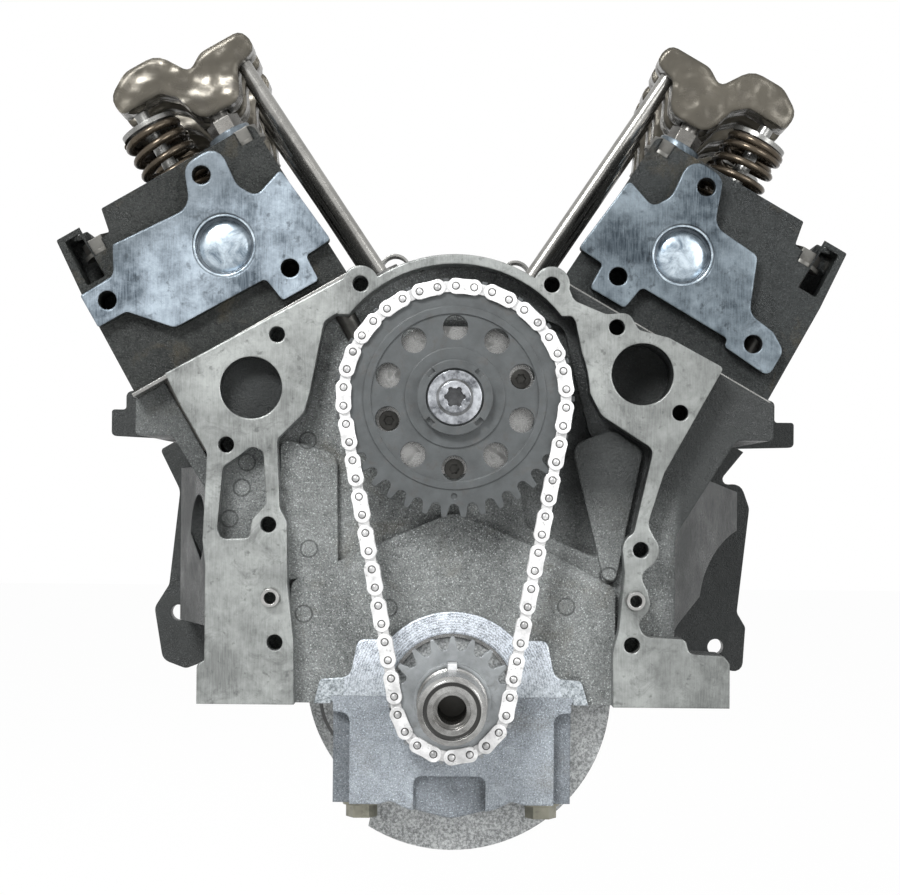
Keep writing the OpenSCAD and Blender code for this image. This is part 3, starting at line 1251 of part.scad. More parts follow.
// Slipper piston about its wrist pin: crown with three rings, two thrust skirts, pin bosses
piston_r = bore_d / 2 - 0.05;
ring_r = bore_d / 2 - 0.02;
ring_tops = [7, 13.5, 20];
ring_h = [1.5, 1.5, 3];
skirt_low = 20;
crown_low = 12;
module piston(side, n) on_bank(side, cyl_y(side, n))
    translate([0, 0, rest_wrist(cyl_turn(side, n))]) {
        color([0.70, 0.70, 0.70]) difference() {
            union() {
                translate([0, 0, crown_low]) cylinder(r = piston_r, h = comp_h - crown_low);
                intersection() {
                    translate([0, 0, -skirt_low]) cylinder(r = piston_r, h = skirt_low + crown_low + 1);
                    translate([-60, -24, -skirt_low]) cube([120, 48, skirt_low + crown_low + 1]);
                }
            }
            for (i = rows()) translate([0, 0, comp_h - ring_tops[i] - ring_h[i] - 0.05]) difference() {
                cylinder(r = piston_r + 1, h = ring_h[i] + 0.1);
                cylinder(r = piston_r - 4.6, h = ring_h[i] + 0.1);
            }
            translate([-37, -rod_w / 2 - 1, -skirt_low - 1]) cube([74, rod_w + 2, skirt_low + 28]);
            translate([-30, -30, -skirt_low - 1]) cube([60, 60, skirt_low - 15]);
            for (s = [-1, 1]) translate([s * 28 - 9, -30, -skirt_low - 1]) cube([18, 60, skirt_low + 10]);
            rod_y(wrist_r + run_gap, -40, 40);
            translate([0, 0, comp_h - 1.2]) cylinder(r = 30, h = 2);
        }
        color(steel) rod_y(wrist_r, -23.5, 23.5);
        color(dark_steel) for (i = rows()) translate([0, 0, comp_h - ring_tops[i] - ring_h[i]]) difference() {
            cylinder(r = ring_r, h = ring_h[i]);
            translate([0, 0, -1]) cylinder(r = piston_r - 4.2, h = ring_h[i] + 2);
        }
    }
module piston_1() piston(-1, 0);
module piston_2() piston(-1, 1);
module piston_3() piston(-1, 2);
module piston_4() piston(1, 0);
module piston_5() piston(1, 1);
module piston_6() piston(1, 2);

cylinder_block();
front_main_cap();
rear_main_caps();
main_cap_bolts();
main_bearing_shells();
cam_bearings();
cam_thrust_plate();
thrust_plate_screws();
head_gaskets();
left_cylinder_head();
right_cylinder_head();
head_bolts();
core_plugs();
cover_dowels();
front_valve_springs();
rear_valve_springs();
rocker_fulcrums();
rocker_bolts();
lifter_guides();
rear_main_seal();
chain_outer_links();
chain_inner_links();
rear_rocker_arms();
rear_pushrods();
rear_lifters();
rear_valves();
crankshaft();
crank_sprocket();
crank_key();
camshaft();
cam_sprocket();
cam_sprocket_bolt();
connecting_rod_1();
connecting_rod_2();
connecting_rod_3();
connecting_rod_4();
connecting_rod_5();
connecting_rod_6();
piston_1();
piston_2();
piston_3();
piston_4();
piston_5();
piston_6();
rocker_1_exhaust();
rocker_1_intake();
rocker_4_intake();
rocker_4_exhaust();
valve_1_exhaust();
valve_1_intake();
valve_4_intake();
valve_4_exhaust();
pushrod_1_exhaust();
pushrod_1_intake();
pushrod_4_intake();
pushrod_4_exhaust();
lifter_1_exhaust();
lifter_1_intake();
lifter_4_intake();
lifter_4_exhaust();
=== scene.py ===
"""Looks for a sixty degree V-six long block: oily cast iron, milled faces, bright chain and springs."""
import bpy
import bmesh
from math import radians, pi, sin, cos, asin, atan2, floor, sqrt
from mathutils import Matrix, Vector


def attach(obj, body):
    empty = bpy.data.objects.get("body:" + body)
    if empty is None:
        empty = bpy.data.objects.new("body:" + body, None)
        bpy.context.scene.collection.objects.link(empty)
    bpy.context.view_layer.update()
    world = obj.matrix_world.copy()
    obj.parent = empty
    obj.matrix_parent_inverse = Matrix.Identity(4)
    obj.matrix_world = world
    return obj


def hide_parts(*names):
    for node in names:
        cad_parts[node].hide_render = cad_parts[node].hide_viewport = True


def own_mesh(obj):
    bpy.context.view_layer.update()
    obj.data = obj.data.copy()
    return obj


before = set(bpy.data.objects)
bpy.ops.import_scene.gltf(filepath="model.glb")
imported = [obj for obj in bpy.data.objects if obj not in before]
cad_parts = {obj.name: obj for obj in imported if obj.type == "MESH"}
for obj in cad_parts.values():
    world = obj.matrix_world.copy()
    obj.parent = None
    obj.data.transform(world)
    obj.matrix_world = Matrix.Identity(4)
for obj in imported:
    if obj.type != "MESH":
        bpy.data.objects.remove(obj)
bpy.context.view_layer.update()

# Directions. A side of -1 is the left one and 1 the right; an end of -1 is in front and 1 behind
FRONT = (0, -1, 0)
REAR = (0, 1, 0)
LEFT = (-1, 0, 0)
RIGHT = (1, 0, 0)
UP = (0, 0, 1)
DOWN = (0, 0, -1)
SIDES = (-1, 1)

# Places on the CAD model, in millimetres from the crank's rear flange face and axis
MM = 0.001
SKIN = 0.1
HALF_VEE = radians(30)
CAM_Z = 156.8836
COVER_FACE = 384
CAP_FACE = 375
BLOCK_REAR = 12
RAIL_DROP = 4
RAIL_X = 134
DECK = 220
HEAD_TOP = 316
HEAD_FRONT = {-1: 381.5, 1: 354.5}
HEAD_REAR = {-1: 45.5, 1: 18.5}
PLUG_X, PLUG_Z = 121.9, 236.8
CORE_HOLE_X, CORE_HOLE_Z, CORE_HOLE_R = 107.3, 161.7, 18.5
BOSS_R = 57.5
SNOUT_FROM, GROOVE_FROM, BORE_MOUTH = 404, 430, 431
GROOVE_R, SNOUT_BORE_R = (12.3, 14.4), 8.9
PLUG_GAP_R = (13.7, 15.4)
PLUG_DOME = [(0, 4.9), (5, 5.05), (9, 5.5), (12, 6.2), (13.6, 6.9)]
SCREW_RIM_R, SCREW_STAR_R, SCREW_FACE = (8.2, 9.6), 6.1, 408
MARK_R = (3.9, 4.9)
EJECTOR_MARKS = [(-78, 135), (-76.5, 77.5), (-79, 43), (-34, 46.5), (-110, 123), (-112.5, 109.5),
    (-119, 93), (82.5, 64.5), (60, 48)]

# Valve gear: the springs' seat and top along the bank, their line across it and the wire
SEAT_V, TOP_V, VALVE_U = 304.0, 347.0, -7.0
COIL_R, WIRE_R = 14.8, 2.2
FIRST_CYLINDER_Y, BANK_STAGGER, BORE_PITCH, SPREAD = -317.5, 27, 104, 21
LIFT = 10.069

# Crank angles in degrees: at rest, where the valves are fully open, and each bank's firing points
CRANK_AT_REST = -10
EXHAUST_OPEN, INTAKE_OPEN = 590, 110
STROKES = {-1: (360, 120, 600), 1: (240, 720, 480)}

# Timing chain
CRANK_TEETH, CAM_TEETH, LINKS, PITCH = 19, 38, 62, 9.525
CHAIN_Y, PLATE_INNER, PLATE_T, PLATE_R, PIN_R = -396, 3.75, 1.25, 4.15, 1.6
PLATE_WAIST, PLATE_RIM = 0.93, 0.22

# Camera and stage: places in metres, the lean in degrees and the shift in pixels
IMAGE_WIDTH = 900
CAMERA_PLACE = (0, -1.509, 0.104)
CAMERA_LEAN = 0.525
CAMERA_SHIFT = (-3.9, 52.5)
LENS, SENSOR = 85.9, 36
FLOOR_SIZE, FLOOR_LEVEL = 6, -0.20
SKY_LIGHT = 0.36


# Material helpers
class Graph:
    """Shorthand for wiring one material's nodes."""

    def __init__(self, name):
        self.material = bpy.data.materials.new(name)
        self.material.use_nodes = True
        self.tree = self.material.node_tree
        self.tree.nodes.clear()
        self.shader = self.node("ShaderNodeBsdfPrincipled")
        output = self.node("ShaderNodeOutputMaterial")
        self.link(self.shader.outputs[0], output.inputs["Surface"])
        self.place = self.node("ShaderNodeTexCoord").outputs["Object"]

    def node(self, kind, **settings):
        made = self.tree.nodes.new(kind)
        for key, value in settings.items():
            setattr(made, key, value)
        return made

    def link(self, a, b):
        self.tree.links.new(a, b)

    def feed(self, socket, value):
        if isinstance(value, bpy.types.NodeSocket):
            self.link(value, socket)
        elif socket.type == "RGBA" and not isinstance(value, (int, float)):
            socket.default_value = tuple(value)[:3] + (1,)
        else:
            socket.default_value = value

    def stretch(self, x, y, z):
        mapping = self.node("ShaderNodeMapping")
        self.link(self.place, mapping.inputs["Vector"])
        mapping.inputs["Scale"].default_value = (x, y, z)
        return mapping.outputs[0]

    def noise(self, scale, detail=4, rough=0.55, where=None, distort=0):
        made = self.node("ShaderNodeTexNoise")
        self.link(where or self.place, made.inputs["Vector"])
        made.inputs["Scale"].default_value = scale
        made.inputs["Detail"].default_value = detail
        made.inputs["Roughness"].default_value = rough
        made.inputs["Distortion"].default_value = distort
        return made.outputs["Fac"]

    def ramp(self, value, low, high, a=(0, 0, 0), b=(1, 1, 1)):
        made = self.node("ShaderNodeValToRGB")
        made.color_ramp.elements[0].position = low
        made.color_ramp.elements[1].position = high
        made.color_ramp.elements[0].color = tuple(a) + (1,)
        made.color_ramp.elements[1].color = tuple(b) + (1,)
        self.link(value, made.inputs[0])
        return made.outputs[0]

    def math(self, how, a, b=0.0, c=0.0):
        made = self.node("ShaderNodeMath", operation=how)
        for socket, value in zip(made.inputs, (a, b, c)):
            self.feed(socket, value)
        return made.outputs[0]

    def mix(self, share, a, b, how="MIX"):
        made = self.node("ShaderNodeMix", data_type="RGBA", blend_type=how)
        self.feed(made.inputs[0], share)
        self.feed(made.inputs[6], a)
        self.feed(made.inputs[7], b)
        return made.outputs[2]

    def blend(self, share, a, b):
        made = self.node("ShaderNodeMix", data_type="FLOAT")
        self.feed(made.inputs[0], share)
        self.feed(made.inputs[2], a)
        self.feed(made.inputs[3], b)
        return made.outputs[0]

    def beyond(self, direction, level):
        """1 on the far side of a plane, level millimetres along direction."""
        dot = self.node("ShaderNodeVectorMath", operation="DOT_PRODUCT")
        self.link(self.place, dot.inputs[0])
        dot.inputs[1].default_value = direction
        return self.math("GREATER_THAN", dot.outputs["Value"], level * MM)

    def along(self, direction, low, high):
        """Rises from 0 to 1 between two levels along direction, in millimetres."""
        dot = self.node("ShaderNodeVectorMath", operation="DOT_PRODUCT")
        self.link(self.place, dot.inputs[0])
        dot.inputs[1].default_value = direction
        span = self.node("ShaderNodeMapRange")
        self.link(dot.outputs["Value"], span.inputs["Value"])
        span.inputs["From Min"].default_value = low * MM
        span.inputs["From Max"].default_value = high * MM
        return span.outputs[0]

    def within(self, direction, low, high):
        """1 between two planes across direction."""
        return self.math("SUBTRACT", self.beyond(direction, low), self.beyond(direction, high))

    def on(self, direction, level):
        """1 on the flat face that lies level millimetres along direction."""
        return self.within(direction, level - SKIN, level + SKIN)

    def ring(self, centre, inner, outer):
        """1 between two radii about an axis along y, in millimetres."""
        away = self.node("ShaderNodeVectorMath", operation="SUBTRACT")
        self.link(self.place, away.inputs[0])
        away.inputs[1].default_value = (centre[0] * MM, 0, centre[1] * MM)
        flat = self.node("ShaderNodeVectorMath", operation="MULTIPLY")
        self.link(away.outputs[0], flat.inputs[0])
        flat.inputs[1].default_value = (1, 0, 1)
        size = self.node("ShaderNodeVectorMath", operation="LENGTH")
        self.link(flat.outputs[0], size.inputs[0])
        far = self.math("GREATER_THAN", size.outputs["Value"], inner * MM)
        return self.math("MULTIPLY", far, self.math("LESS_THAN", size.outputs["Value"], outer * MM))

    def any_of(self, masks):
        found = None
        for mask in masks:
            found = mask if found is None else self.math("MAXIMUM", found, mask)
        return found

    def bump(self, height, strength, distance, under=None):
        made = self.node("ShaderNodeBump")
        made.inputs["Strength"].default_value = strength
        made.inputs["Distance"].default_value = distance
        self.link(height, made.inputs["Height"])
        if under is not None:
            self.link(under, made.inputs["Normal"])
        return made.outputs[0]

    def soft_edges(self, radius):
        made = self.node("ShaderNodeBevel", samples=6)
        made.inputs["Radius"].default_value = radius
        return made.outputs[0]

    def shine(self, colour, rough, normal=None, metal=0.0):
        self.feed(self.shader.inputs["Base Color"], colour)
        self.feed(self.shader.inputs["Roughness"], rough)
        self.feed(self.shader.inputs["Metallic"], metal)
        if normal is not None:
            self.link(normal, self.shader.inputs["Normal"])
        return self.material


def up_bank(side):
    return (side * sin(HALF_VEE), 0, cos(HALF_VEE))


def shade(colour, factor):
    return [part * factor for part in colour]


def iron_casting(name, dark, light, milled_dark, milled_light, milled_faces, marks=(), painted_shade=None,
                 finish_and_painted_shade=None):
    """Sand-cast iron under a film of oil, milled bright where milled_faces says so; marks are the faint
    round prints that the mould's ejector pins leave. The argument after marks says where shade is
    painted into the cast colour, and the last one changes the milled colour from place to place, for
    its finish and as painted shade."""
    g = Graph(name)
    cloud = g.noise(14, 5, 0.62)
    fine = g.noise(260, 5, 0.65)
    sand = g.noise(1000, 3, 0.7)
    mixed = g.math("MULTIPLY_ADD", fine, 0.25, g.math("MULTIPLY", cloud, 0.28))
    cast = g.ramp(g.math("MULTIPLY_ADD", sand, 0.55, mixed), 0.40, 0.68, dark, light)
    # Painted glints: bright specks painted into the cast colour as highlights.
    painted_glints = g.ramp(g.noise(1400, 2, 0.5), 0.60, 0.72)
    cast = g.mix(g.math("MULTIPLY", painted_glints, 0.8), cast, shade(light, 2.0))
    rust = g.ramp(g.noise(30, 6, 0.7, distort=0.6), 0.56, 0.72)
    cast = g.mix(g.math("MULTIPLY", rust, 0.34), cast, (0.100, 0.080, 0.046))
    milled = g.ramp(g.noise(26, 7, 0.72), 0.40, 0.62, milled_dark, milled_light)
    streak = g.noise(9, 3, 0.5, g.stretch(160, 4, 12))
    streak = g.math("MULTIPLY", g.ramp(streak, 0.35, 0.7), 0.25)
    milled = g.mix(streak, milled, shade(milled_light, 1.3))
    dirt = g.ramp(g.noise(58, 8, 0.75, distort=1.0), 0.52, 0.70)
    milled = g.mix(g.math("MULTIPLY", dirt, 0.62), milled, shade(milled_dark, 0.34))
    spots = g.ramp(g.noise(190, 4, 0.6), 0.60, 0.68)
    milled = g.mix(g.math("MULTIPLY", spots, 0.5), milled, shade(milled_dark, 0.3))
    # Painted shade: the cast colour is darkened where the mask says.
    if painted_shade is not None:
        cast = g.mix(painted_shade(g), cast, shade(dark, 0.55))
    # Changes the milled colour for its finish and paints shade into it.
    if finish_and_painted_shade is not None:
        milled = finish_and_painted_shade(g, milled)
    face = milled_faces(g)
    prints = None
    if marks:
        prints = g.math("MULTIPLY", g.any_of([g.ring(centre, *MARK_R) for centre in marks]),
            g.within(FRONT, COVER_FACE - 34, COVER_FACE - 2 * SKIN))
        cast = g.mix(g.math("MULTIPLY", prints, 0.6), cast, shade(dark, 0.6))
    lumps = g.math("ADD", g.math("MULTIPLY", g.noise(880, 4, 0.65), 0.9),
        g.math("MULTIPLY", g.noise(120, 3, 0.55), 0.9))
    pits = g.math("MULTIPLY", g.noise(900, 2, 0.5), 0.06)
    skin = g.blend(face, lumps, pits)
    if prints is not None:
        skin = g.math("MULTIPLY_ADD", prints, -0.6, skin)
    normal = g.bump(skin, 1.0, 0.0012, g.soft_edges(0.0014))
    oil = g.ramp(g.noise(24, 5, 0.65), 0.38, 0.62)
    rough = g.blend(face, g.blend(oil, 0.24, 0.50), g.blend(dirt, 0.30, 0.52))
    g.shader.inputs["Specular IOR Level"].default_value = 0.24
    return g.shine(g.mix(face, cast, milled), rough, normal, g.blend(face, 0.2, 0.5))


def worn_steel(name, base, rough=0.3, metal=0.85, grime=0.4, grain=90, edge=0.0004, scratch=0.08,
               dirt_colour=(0.05, 0.045, 0.035), swell=0.0):
    """Steel with patches of grime, fine scratches and lighter worn places."""
    g = Graph(name)
    patch = g.noise(grain, 5, 0.65)
    colour = g.ramp(patch, 0.3, 0.72, shade(base, 0.72), shade(base, 1.18))
    dirt = g.ramp(g.noise(grain * 1.7, 6, 0.7, distort=0.5), 0.54, 0.72)
    colour = g.mix(g.math("MULTIPLY", dirt, grime), colour, dirt_colour)
    lines = g.noise(60, 3, 0.5, g.stretch(30, 3, 30))
    roughness = g.math("MULTIPLY_ADD", dirt, 0.25, g.math("MULTIPLY_ADD", lines, 0.15, rough - 0.07))
    normal = g.soft_edges(edge)
    if swell:
        normal = g.bump(g.noise(46, 2, 0.4), 0.8, swell, normal)
    normal = g.bump(g.math("ADD", lines, g.math("MULTIPLY", patch, 0.5)), scratch, 0.0003, normal)
    return g.shine(colour, roughness, normal, metal)


def plain_rubber(name):
    g = Graph(name)
    return g.shine(g.ramp(g.noise(300), 0.3, 0.7, (0.012, 0.012, 0.012), (0.03, 0.03, 0.03)), 0.6)


# Finishes and painted shade
def block_faces(g):
    """The cover face, the boss round the crank, the rear face, the pan rail and the two decks."""
    reach = RAIL_X + 6 * SKIN
    rail = g.math("MULTIPLY", g.beyond(DOWN, RAIL_DROP - SKIN / 2), g.within(LEFT, -reach, reach))
    return g.any_of([g.beyond(FRONT, COVER_FACE - SKIN), g.on(FRONT, CAP_FACE),
        g.beyond(REAR, -BLOCK_REAR - SKIN), rail, g.on(up_bank(1), DECK), g.on(up_bank(-1), DECK)])


def block_painted_shade(g):
    """Painted shade, darkest behind the sprocket at the right, on the outer sides and deep in the two core
    holes.
    """
    inside = g.math("MULTIPLY", g.along(UP, 66, 112), g.math("MULTIPLY", g.along(RIGHT, -20, 62), 0.92))
    outer = g.math("ADD", g.along(RIGHT, 108, 122), g.math("MULTIPLY", g.along(LEFT, 112, 128), 0.6))
    behind = g.math("MULTIPLY", g.along(REAR, -345, -330), 0.86)
    holes = g.any_of([g.ring((side * CORE_HOLE_X, CORE_HOLE_Z), 0, CORE_HOLE_R) for side in SIDES])
    return g.math("MINIMUM", g.any_of([inside, outer, behind, holes]), 0.94)


def boss_shine(g, milled):
    """The turned ring round the crank is light and bluish, with the tool's chatter; the far right is painted
    darker as shade.
    """
    chatter = g.node("ShaderNodeTexWave", wave_type="RINGS", rings_direction="Y")
    g.link(g.place, chatter.inputs["Vector"])
    chatter.inputs["Scale"].default_value = 230
    chatter.inputs["Distortion"].default_value = 9
    chatter.inputs["Detail"].default_value = 3
    chatter.inputs["Detail Scale"].default_value = 4
    grit = g.math("MULTIPLY", g.noise(420, 5, 0.75), 0.76)
    cut = g.math("MULTIPLY_ADD", chatter.outputs["Fac"], 0.24, grit)
    ring = g.ramp(cut, 0.34, 0.60, (0.22, 0.245, 0.275), (0.76, 0.81, 0.88))
    level = g.on(FRONT, CAP_FACE)
    turned = g.math("MULTIPLY", g.math("MULTIPLY", g.ring((0, 0), 0, BOSS_R), level), g.along(UP, -8, 26))
    # Painted shade: the milled face darkens towards the far right.
    shaded_right = g.mix(g.math("MULTIPLY", g.along(RIGHT, 78, 118), 0.30), milled, (0.10, 0.105, 0.10))
    foot = g.ramp(g.noise(900, 3, 0.7), 0.36, 0.64, (0.13, 0.15, 0.16), (0.50, 0.54, 0.57))
    return g.mix(turned, g.mix(level, shaded_right, foot), ring)


def head_faces(side):
    """The milled ends and cover rail of one bank's head."""
    def faces(g):
        return g.any_of([g.beyond(FRONT, HEAD_FRONT[side] - SKIN), g.beyond(REAR, -HEAD_REAR[side] - SKIN),
            g.beyond(up_bank(side), HEAD_TOP - SKIN)])
    return faces


def head_shade(g, milled):
    """The left head's face darkens towards the valve gear."""
    high = g.math("MULTIPLY", g.along(up_bank(-1), 276, 298), 0.62)
    return g.mix(high, milled, (0.080, 0.094, 0.104))


def cap_faces(g):
    """The cap's face was milled long ago and shows it faintly."""
    return g.math("MULTIPLY", g.on(FRONT, CAP_FACE), 0.12)


def cap_painted_shade(g):
    """Painted shade: the hollow at the foot of the cap is darker than its face."""
    return g.math("MULTIPLY", g.math("SUBTRACT", 1.0, g.beyond(FRONT, CAP_FACE - SKIN)), 0.45)


block_iron = iron_casting("block_iron", (0.048, 0.052, 0.052), (0.300, 0.316, 0.311),
    (0.150, 0.157, 0.153), (0.330, 0.345, 0.335), block_faces, EJECTOR_MARKS, block_painted_shade, boss_shine)
left_head_iron = iron_casting("left_head_iron", (0.005, 0.006, 0.006), (0.040, 0.043, 0.041),
    (0.045, 0.060, 0.075), (0.320, 0.375, 0.425), head_faces(-1), finish_and_painted_shade=head_shade)
# The right head's milled faces are painted darker than the left head's, as painted shade.
right_head_iron = iron_casting("right_head_iron", (0.006, 0.007, 0.007), (0.036, 0.040, 0.040),
    (0.026, 0.036, 0.046), (0.185, 0.222, 0.250), head_faces(1))
cap_iron = iron_casting("cap_iron", (0.085, 0.096, 0.106), (0.400, 0.440, 0.480),
    (0.125, 0.136, 0.146), (0.340, 0.370, 0.395), cap_faces, painted_shade=cap_painted_shade)


def plug_blue(name):
    """Core plugs: a light bluish dome inside a dark ring."""
    g = Graph(name)
    gap = g.any_of([g.ring((side * PLUG_X, PLUG_Z), *PLUG_GAP_R) for side in SIDES])
    mottle = g.noise(110, 7, 0.72, distort=0.6)
    cup = g.ramp(mottle, 0.36, 0.64, (0.12, 0.16, 0.20), (0.54, 0.62, 0.68))
    colour = g.mix(g.math("MULTIPLY", gap, 0.8), cup, (0.022, 0.030, 0.040))
    return g.shine(colour, 0.26, g.bump(g.noise(90, 3, 0.5), 0.15, 0.0006, g.soft_edges(0.0010)), 0.7)


def chain_bright(name, low, high):
    """Chain steel from low to high grey, with small dark specks of dirt."""
    g = Graph(name)
    plate = g.ramp(g.noise(150, 5, 0.65), 0.34, 0.68, [low] * 3, [high] * 3)
    specks = g.ramp(g.noise(420, 3, 0.6), 0.62, 0.70)
    colour = g.mix(g.math("MULTIPLY", specks, 0.5), plate, (0.10, 0.10, 0.095))
    return g.shine(colour, 0.34, g.soft_edges(0.0003), 0.45)


def crank_steel(name):
    """The crank: dark cast webs, bright turned rings where the snout stands out in front, and painted shade
    in the snout's groove and bore.
    """
    g = Graph(name)
    cloud = g.noise(60, 6, 0.7, distort=0.4)
    cast = g.ramp(cloud, 0.36, 0.66, (0.150, 0.158, 0.160), (0.470, 0.485, 0.485))
    turned = g.ramp(g.noise(46, 5, 0.6), 0.36, 0.66, (0.12, 0.118, 0.112), (0.42, 0.42, 0.41))
    sand = g.ramp(g.noise(800, 3, 0.7), 0.40, 0.64, (0.10, 0.105, 0.105), (0.66, 0.68, 0.68))
    ahead = g.beyond(FRONT, SNOUT_FROM)
    colour = g.mix(ahead, g.mix(0.55, cast, sand), turned)
    # Painted shade: the groove in the snout's face is painted dark.
    groove = g.math("MULTIPLY", g.ring((0, 0), *GROOVE_R), g.beyond(FRONT, GROOVE_FROM))
    colour = g.mix(groove, colour, (0.05, 0.05, 0.048))
    # Painted shade: the bore in the snout is painted nearly black.
    bore = g.math("MULTIPLY", g.ring((0, 0), 0, SNOUT_BORE_R), g.beyond(REAR, -BORE_MOUTH))
    colour = g.mix(g.math("MULTIPLY", bore, 0.92), colour, (0.014, 0.013, 0.010))
    lumps = g.math("MULTIPLY", g.noise(380, 3, 0.6), g.math("SUBTRACT", 1.0, ahead))
    normal = g.bump(lumps, 0.5, 0.0006, g.soft_edges(0.0009))
    return g.shine(colour, g.blend(ahead, 0.36, 0.26), normal, g.blend(ahead, 0.45, 0.8))


def screw_bright(name):
    """The cam sprocket's bolt: bright washer face, its star recess painted dark as shade."""
    g = Graph(name)
    star = g.math("MULTIPLY", g.ring((0, CAM_Z), 0, SCREW_STAR_R), g.beyond(REAR, -SCREW_FACE))
    rim = g.ring((0, CAM_Z), *SCREW_RIM_R)
    colour = g.ramp(g.noise(120, 6, 0.7), 0.38, 0.62, (0.09, 0.095, 0.105), (0.50, 0.52, 0.55))
    colour = g.mix(g.math("MULTIPLY", rim, 0.7), colour, (0.07, 0.07, 0.065))
    # Painted shade: the star recess is painted nearly black.
    colour = g.mix(g.math("MULTIPLY", star, 0.85), colour, (0.03, 0.03, 0.03))
    return g.shine(colour, 0.28, g.soft_edges(0.0007), 0.75)


crank_sprocket_iron = worn_steel("crank_sprocket_iron", (0.250, 0.265, 0.272), 0.34, 0.4, 0.35, 110,
    0.0007, 0.2, (0.045, 0.036, 0.028))
sprocket_iron = worn_steel("sprocket_iron", (0.064, 0.070, 0.072), 0.40, 0.3, 0.35, 110, 0.0007, 0.2,
    (0.045, 0.032, 0.024))
crank_iron = crank_steel("crank_iron")
shaft_iron = worn_steel("shaft_iron", (0.10, 0.10, 0.098), 0.34, 0.6, 0.4, 60, 0.0008, 0.15)
shaft_steel = worn_steel("shaft_steel", (0.16, 0.155, 0.145), 0.28, 0.85, 0.35, 70, 0.0005, 0.1)
rocker_steel = worn_steel("rocker_steel", (0.088, 0.080, 0.064), 0.22, 0.50, 0.55, 38, 0.0045, 0.10,
    (0.020, 0.017, 0.014), 0.006)
spring_steel = worn_steel("spring_steel", (0.080, 0.064, 0.046), 0.24, 0.75, 0.5, 120, 0.0002, 0.06,
    (0.02, 0.017, 0.014))
rod_steel = worn_steel("rod_steel", (0.30, 0.295, 0.28), 0.24, 0.9, 0.3, 60, 0.0003, 0.05)
valve_steel = worn_steel("valve_steel", (0.26, 0.26, 0.25), 0.28, 0.85, 0.35, 80, 0.0006, 0.08)
bolt_steel = worn_steel("bolt_steel", (0.10, 0.098, 0.090), 0.34, 0.6, 0.5, 90, 0.0006, 0.12)
cap_bolt_steel = worn_steel("cap_bolt_steel", (0.24, 0.235, 0.19), 0.32, 0.7, 0.35, 90, 0.0008, 0.1)
shell_steel = worn_steel("shell_steel", (0.50, 0.50, 0.49), 0.26, 0.75, 0.25, 60, 0.0004, 0.08)
dowel_steel = worn_steel("dowel_steel", (0.34, 0.34, 0.33), 0.3, 0.8, 0.3, 90, 0.0005, 0.08)
plug_zinc = plug_blue("plug_zinc")
chain_steel = chain_bright("chain_steel", 0.50, 0.86)
inner_link_steel = chain_bright("inner_link_steel", 0.40, 0.74)
link_pin_steel = chain_bright("link_pin_steel", 0.26, 0.70)
# Painted shade: the dark rings about the chain's pins.
pin_ring_painted_shade = worn_steel("pin_ring_painted_shade", (0.035, 0.034, 0.030), 0.5, 0.2, 0.3, 300, 0.0001, 0.05)
key_steel = worn_steel("key_steel", (0.66, 0.67, 0.68), 0.34, 0.3, 0.3, 200, 0.0003, 0.05)
star_screw = screw_bright("star_screw")
piston_alloy = worn_steel("piston_alloy", (0.46, 0.46, 0.46), 0.36, 0.8, 0.25, 50, 0.0004, 0.06)
forged_steel = worn_steel("forged_steel", (0.12, 0.12, 0.12), 0.42, 0.5, 0.4, 70, 0.0008, 0.2)
seal_rubber = plain_rubber("seal_rubber")

FINISHES = {
    "cylinder_block": block_iron, "front_main_cap": cap_iron, "rear_main_caps": cap_iron,
    "left_cylinder_head": left_head_iron, "right_cylinder_head": right_head_iron,
    "main_cap_bolts": cap_bolt_steel, "head_bolts": bolt_steel, "rocker_bolts": bolt_steel,
    "thrust_plate_screws": bolt_steel, "crank_key": key_steel,
    "main_bearing_shells": shell_steel, "cam_bearings": shell_steel, "cam_thrust_plate": shell_steel,
    "head_gaskets": valve_steel, "cover_dowels": dowel_steel,
    "core_plugs": plug_zinc, "cam_sprocket_bolt": star_screw, "rear_main_seal": seal_rubber,
    "chain_outer_links": chain_steel, "chain_inner_links": inner_link_steel,
    "crank_sprocket": crank_sprocket_iron, "cam_sprocket": sprocket_iron,
    "crankshaft": crank_iron, "camshaft": shaft_iron, "lifter_guides": valve_steel,
    "rocker_fulcrums": shaft_steel,
}
STARTS = {
    "rocker": rocker_steel, "rear_rocker": rocker_steel, "valve": valve_steel, "rear_valve": valve_steel,
    "pushrod": rod_steel, "rear_pushrod": rod_steel, "lifter": shaft_iron, "rear_lifter": shaft_iron,
    "connecting_rod": forged_steel, "piston": piston_alloy,
}


def dress(obj, material):
    obj.data.materials.clear()
    obj.data.materials.append(material)


def dress_nodes():
    """Gives each CAD node its finish, by its whole name or else by how the name starts."""
    for name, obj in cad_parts.items():
        by_start = [finish for start, finish in STARTS.items() if name.startswith(start)]
        dress(obj, FINISHES.get(name) or (by_start or [bolt_steel])[0])


dress_nodes()


# Pieces
def bank_matrix(side, y):
    """A bank's own frame: x outwards, z up along the bank, at station y in millimetres."""
    turn = Matrix.Rotation(side * HALF_VEE, 4, "Y")
    flip = Matrix.Identity(4) if side > 0 else Matrix.Rotation(pi, 4, "Z")
    return Matrix.Translation((0, y * MM, 0)) @ turn @ flip


def piece(name, bm, material, smooth=True):
    """Makes a bmesh an object that rides on the block."""
    bmesh.ops.remove_doubles(bm, verts=bm.verts, dist=1e-6)
    bmesh.ops.recalc_face_normals(bm, faces=bm.faces)
    for face in bm.faces:
        face.smooth = smooth
    mesh = bpy.data.meshes.new(name)
    bm.to_mesh(mesh)
    bm.free()
    obj = bpy.data.objects.new(name, mesh)
    bpy.context.scene.collection.objects.link(obj)
    dress(obj, material)
    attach(obj, "block")
    return obj


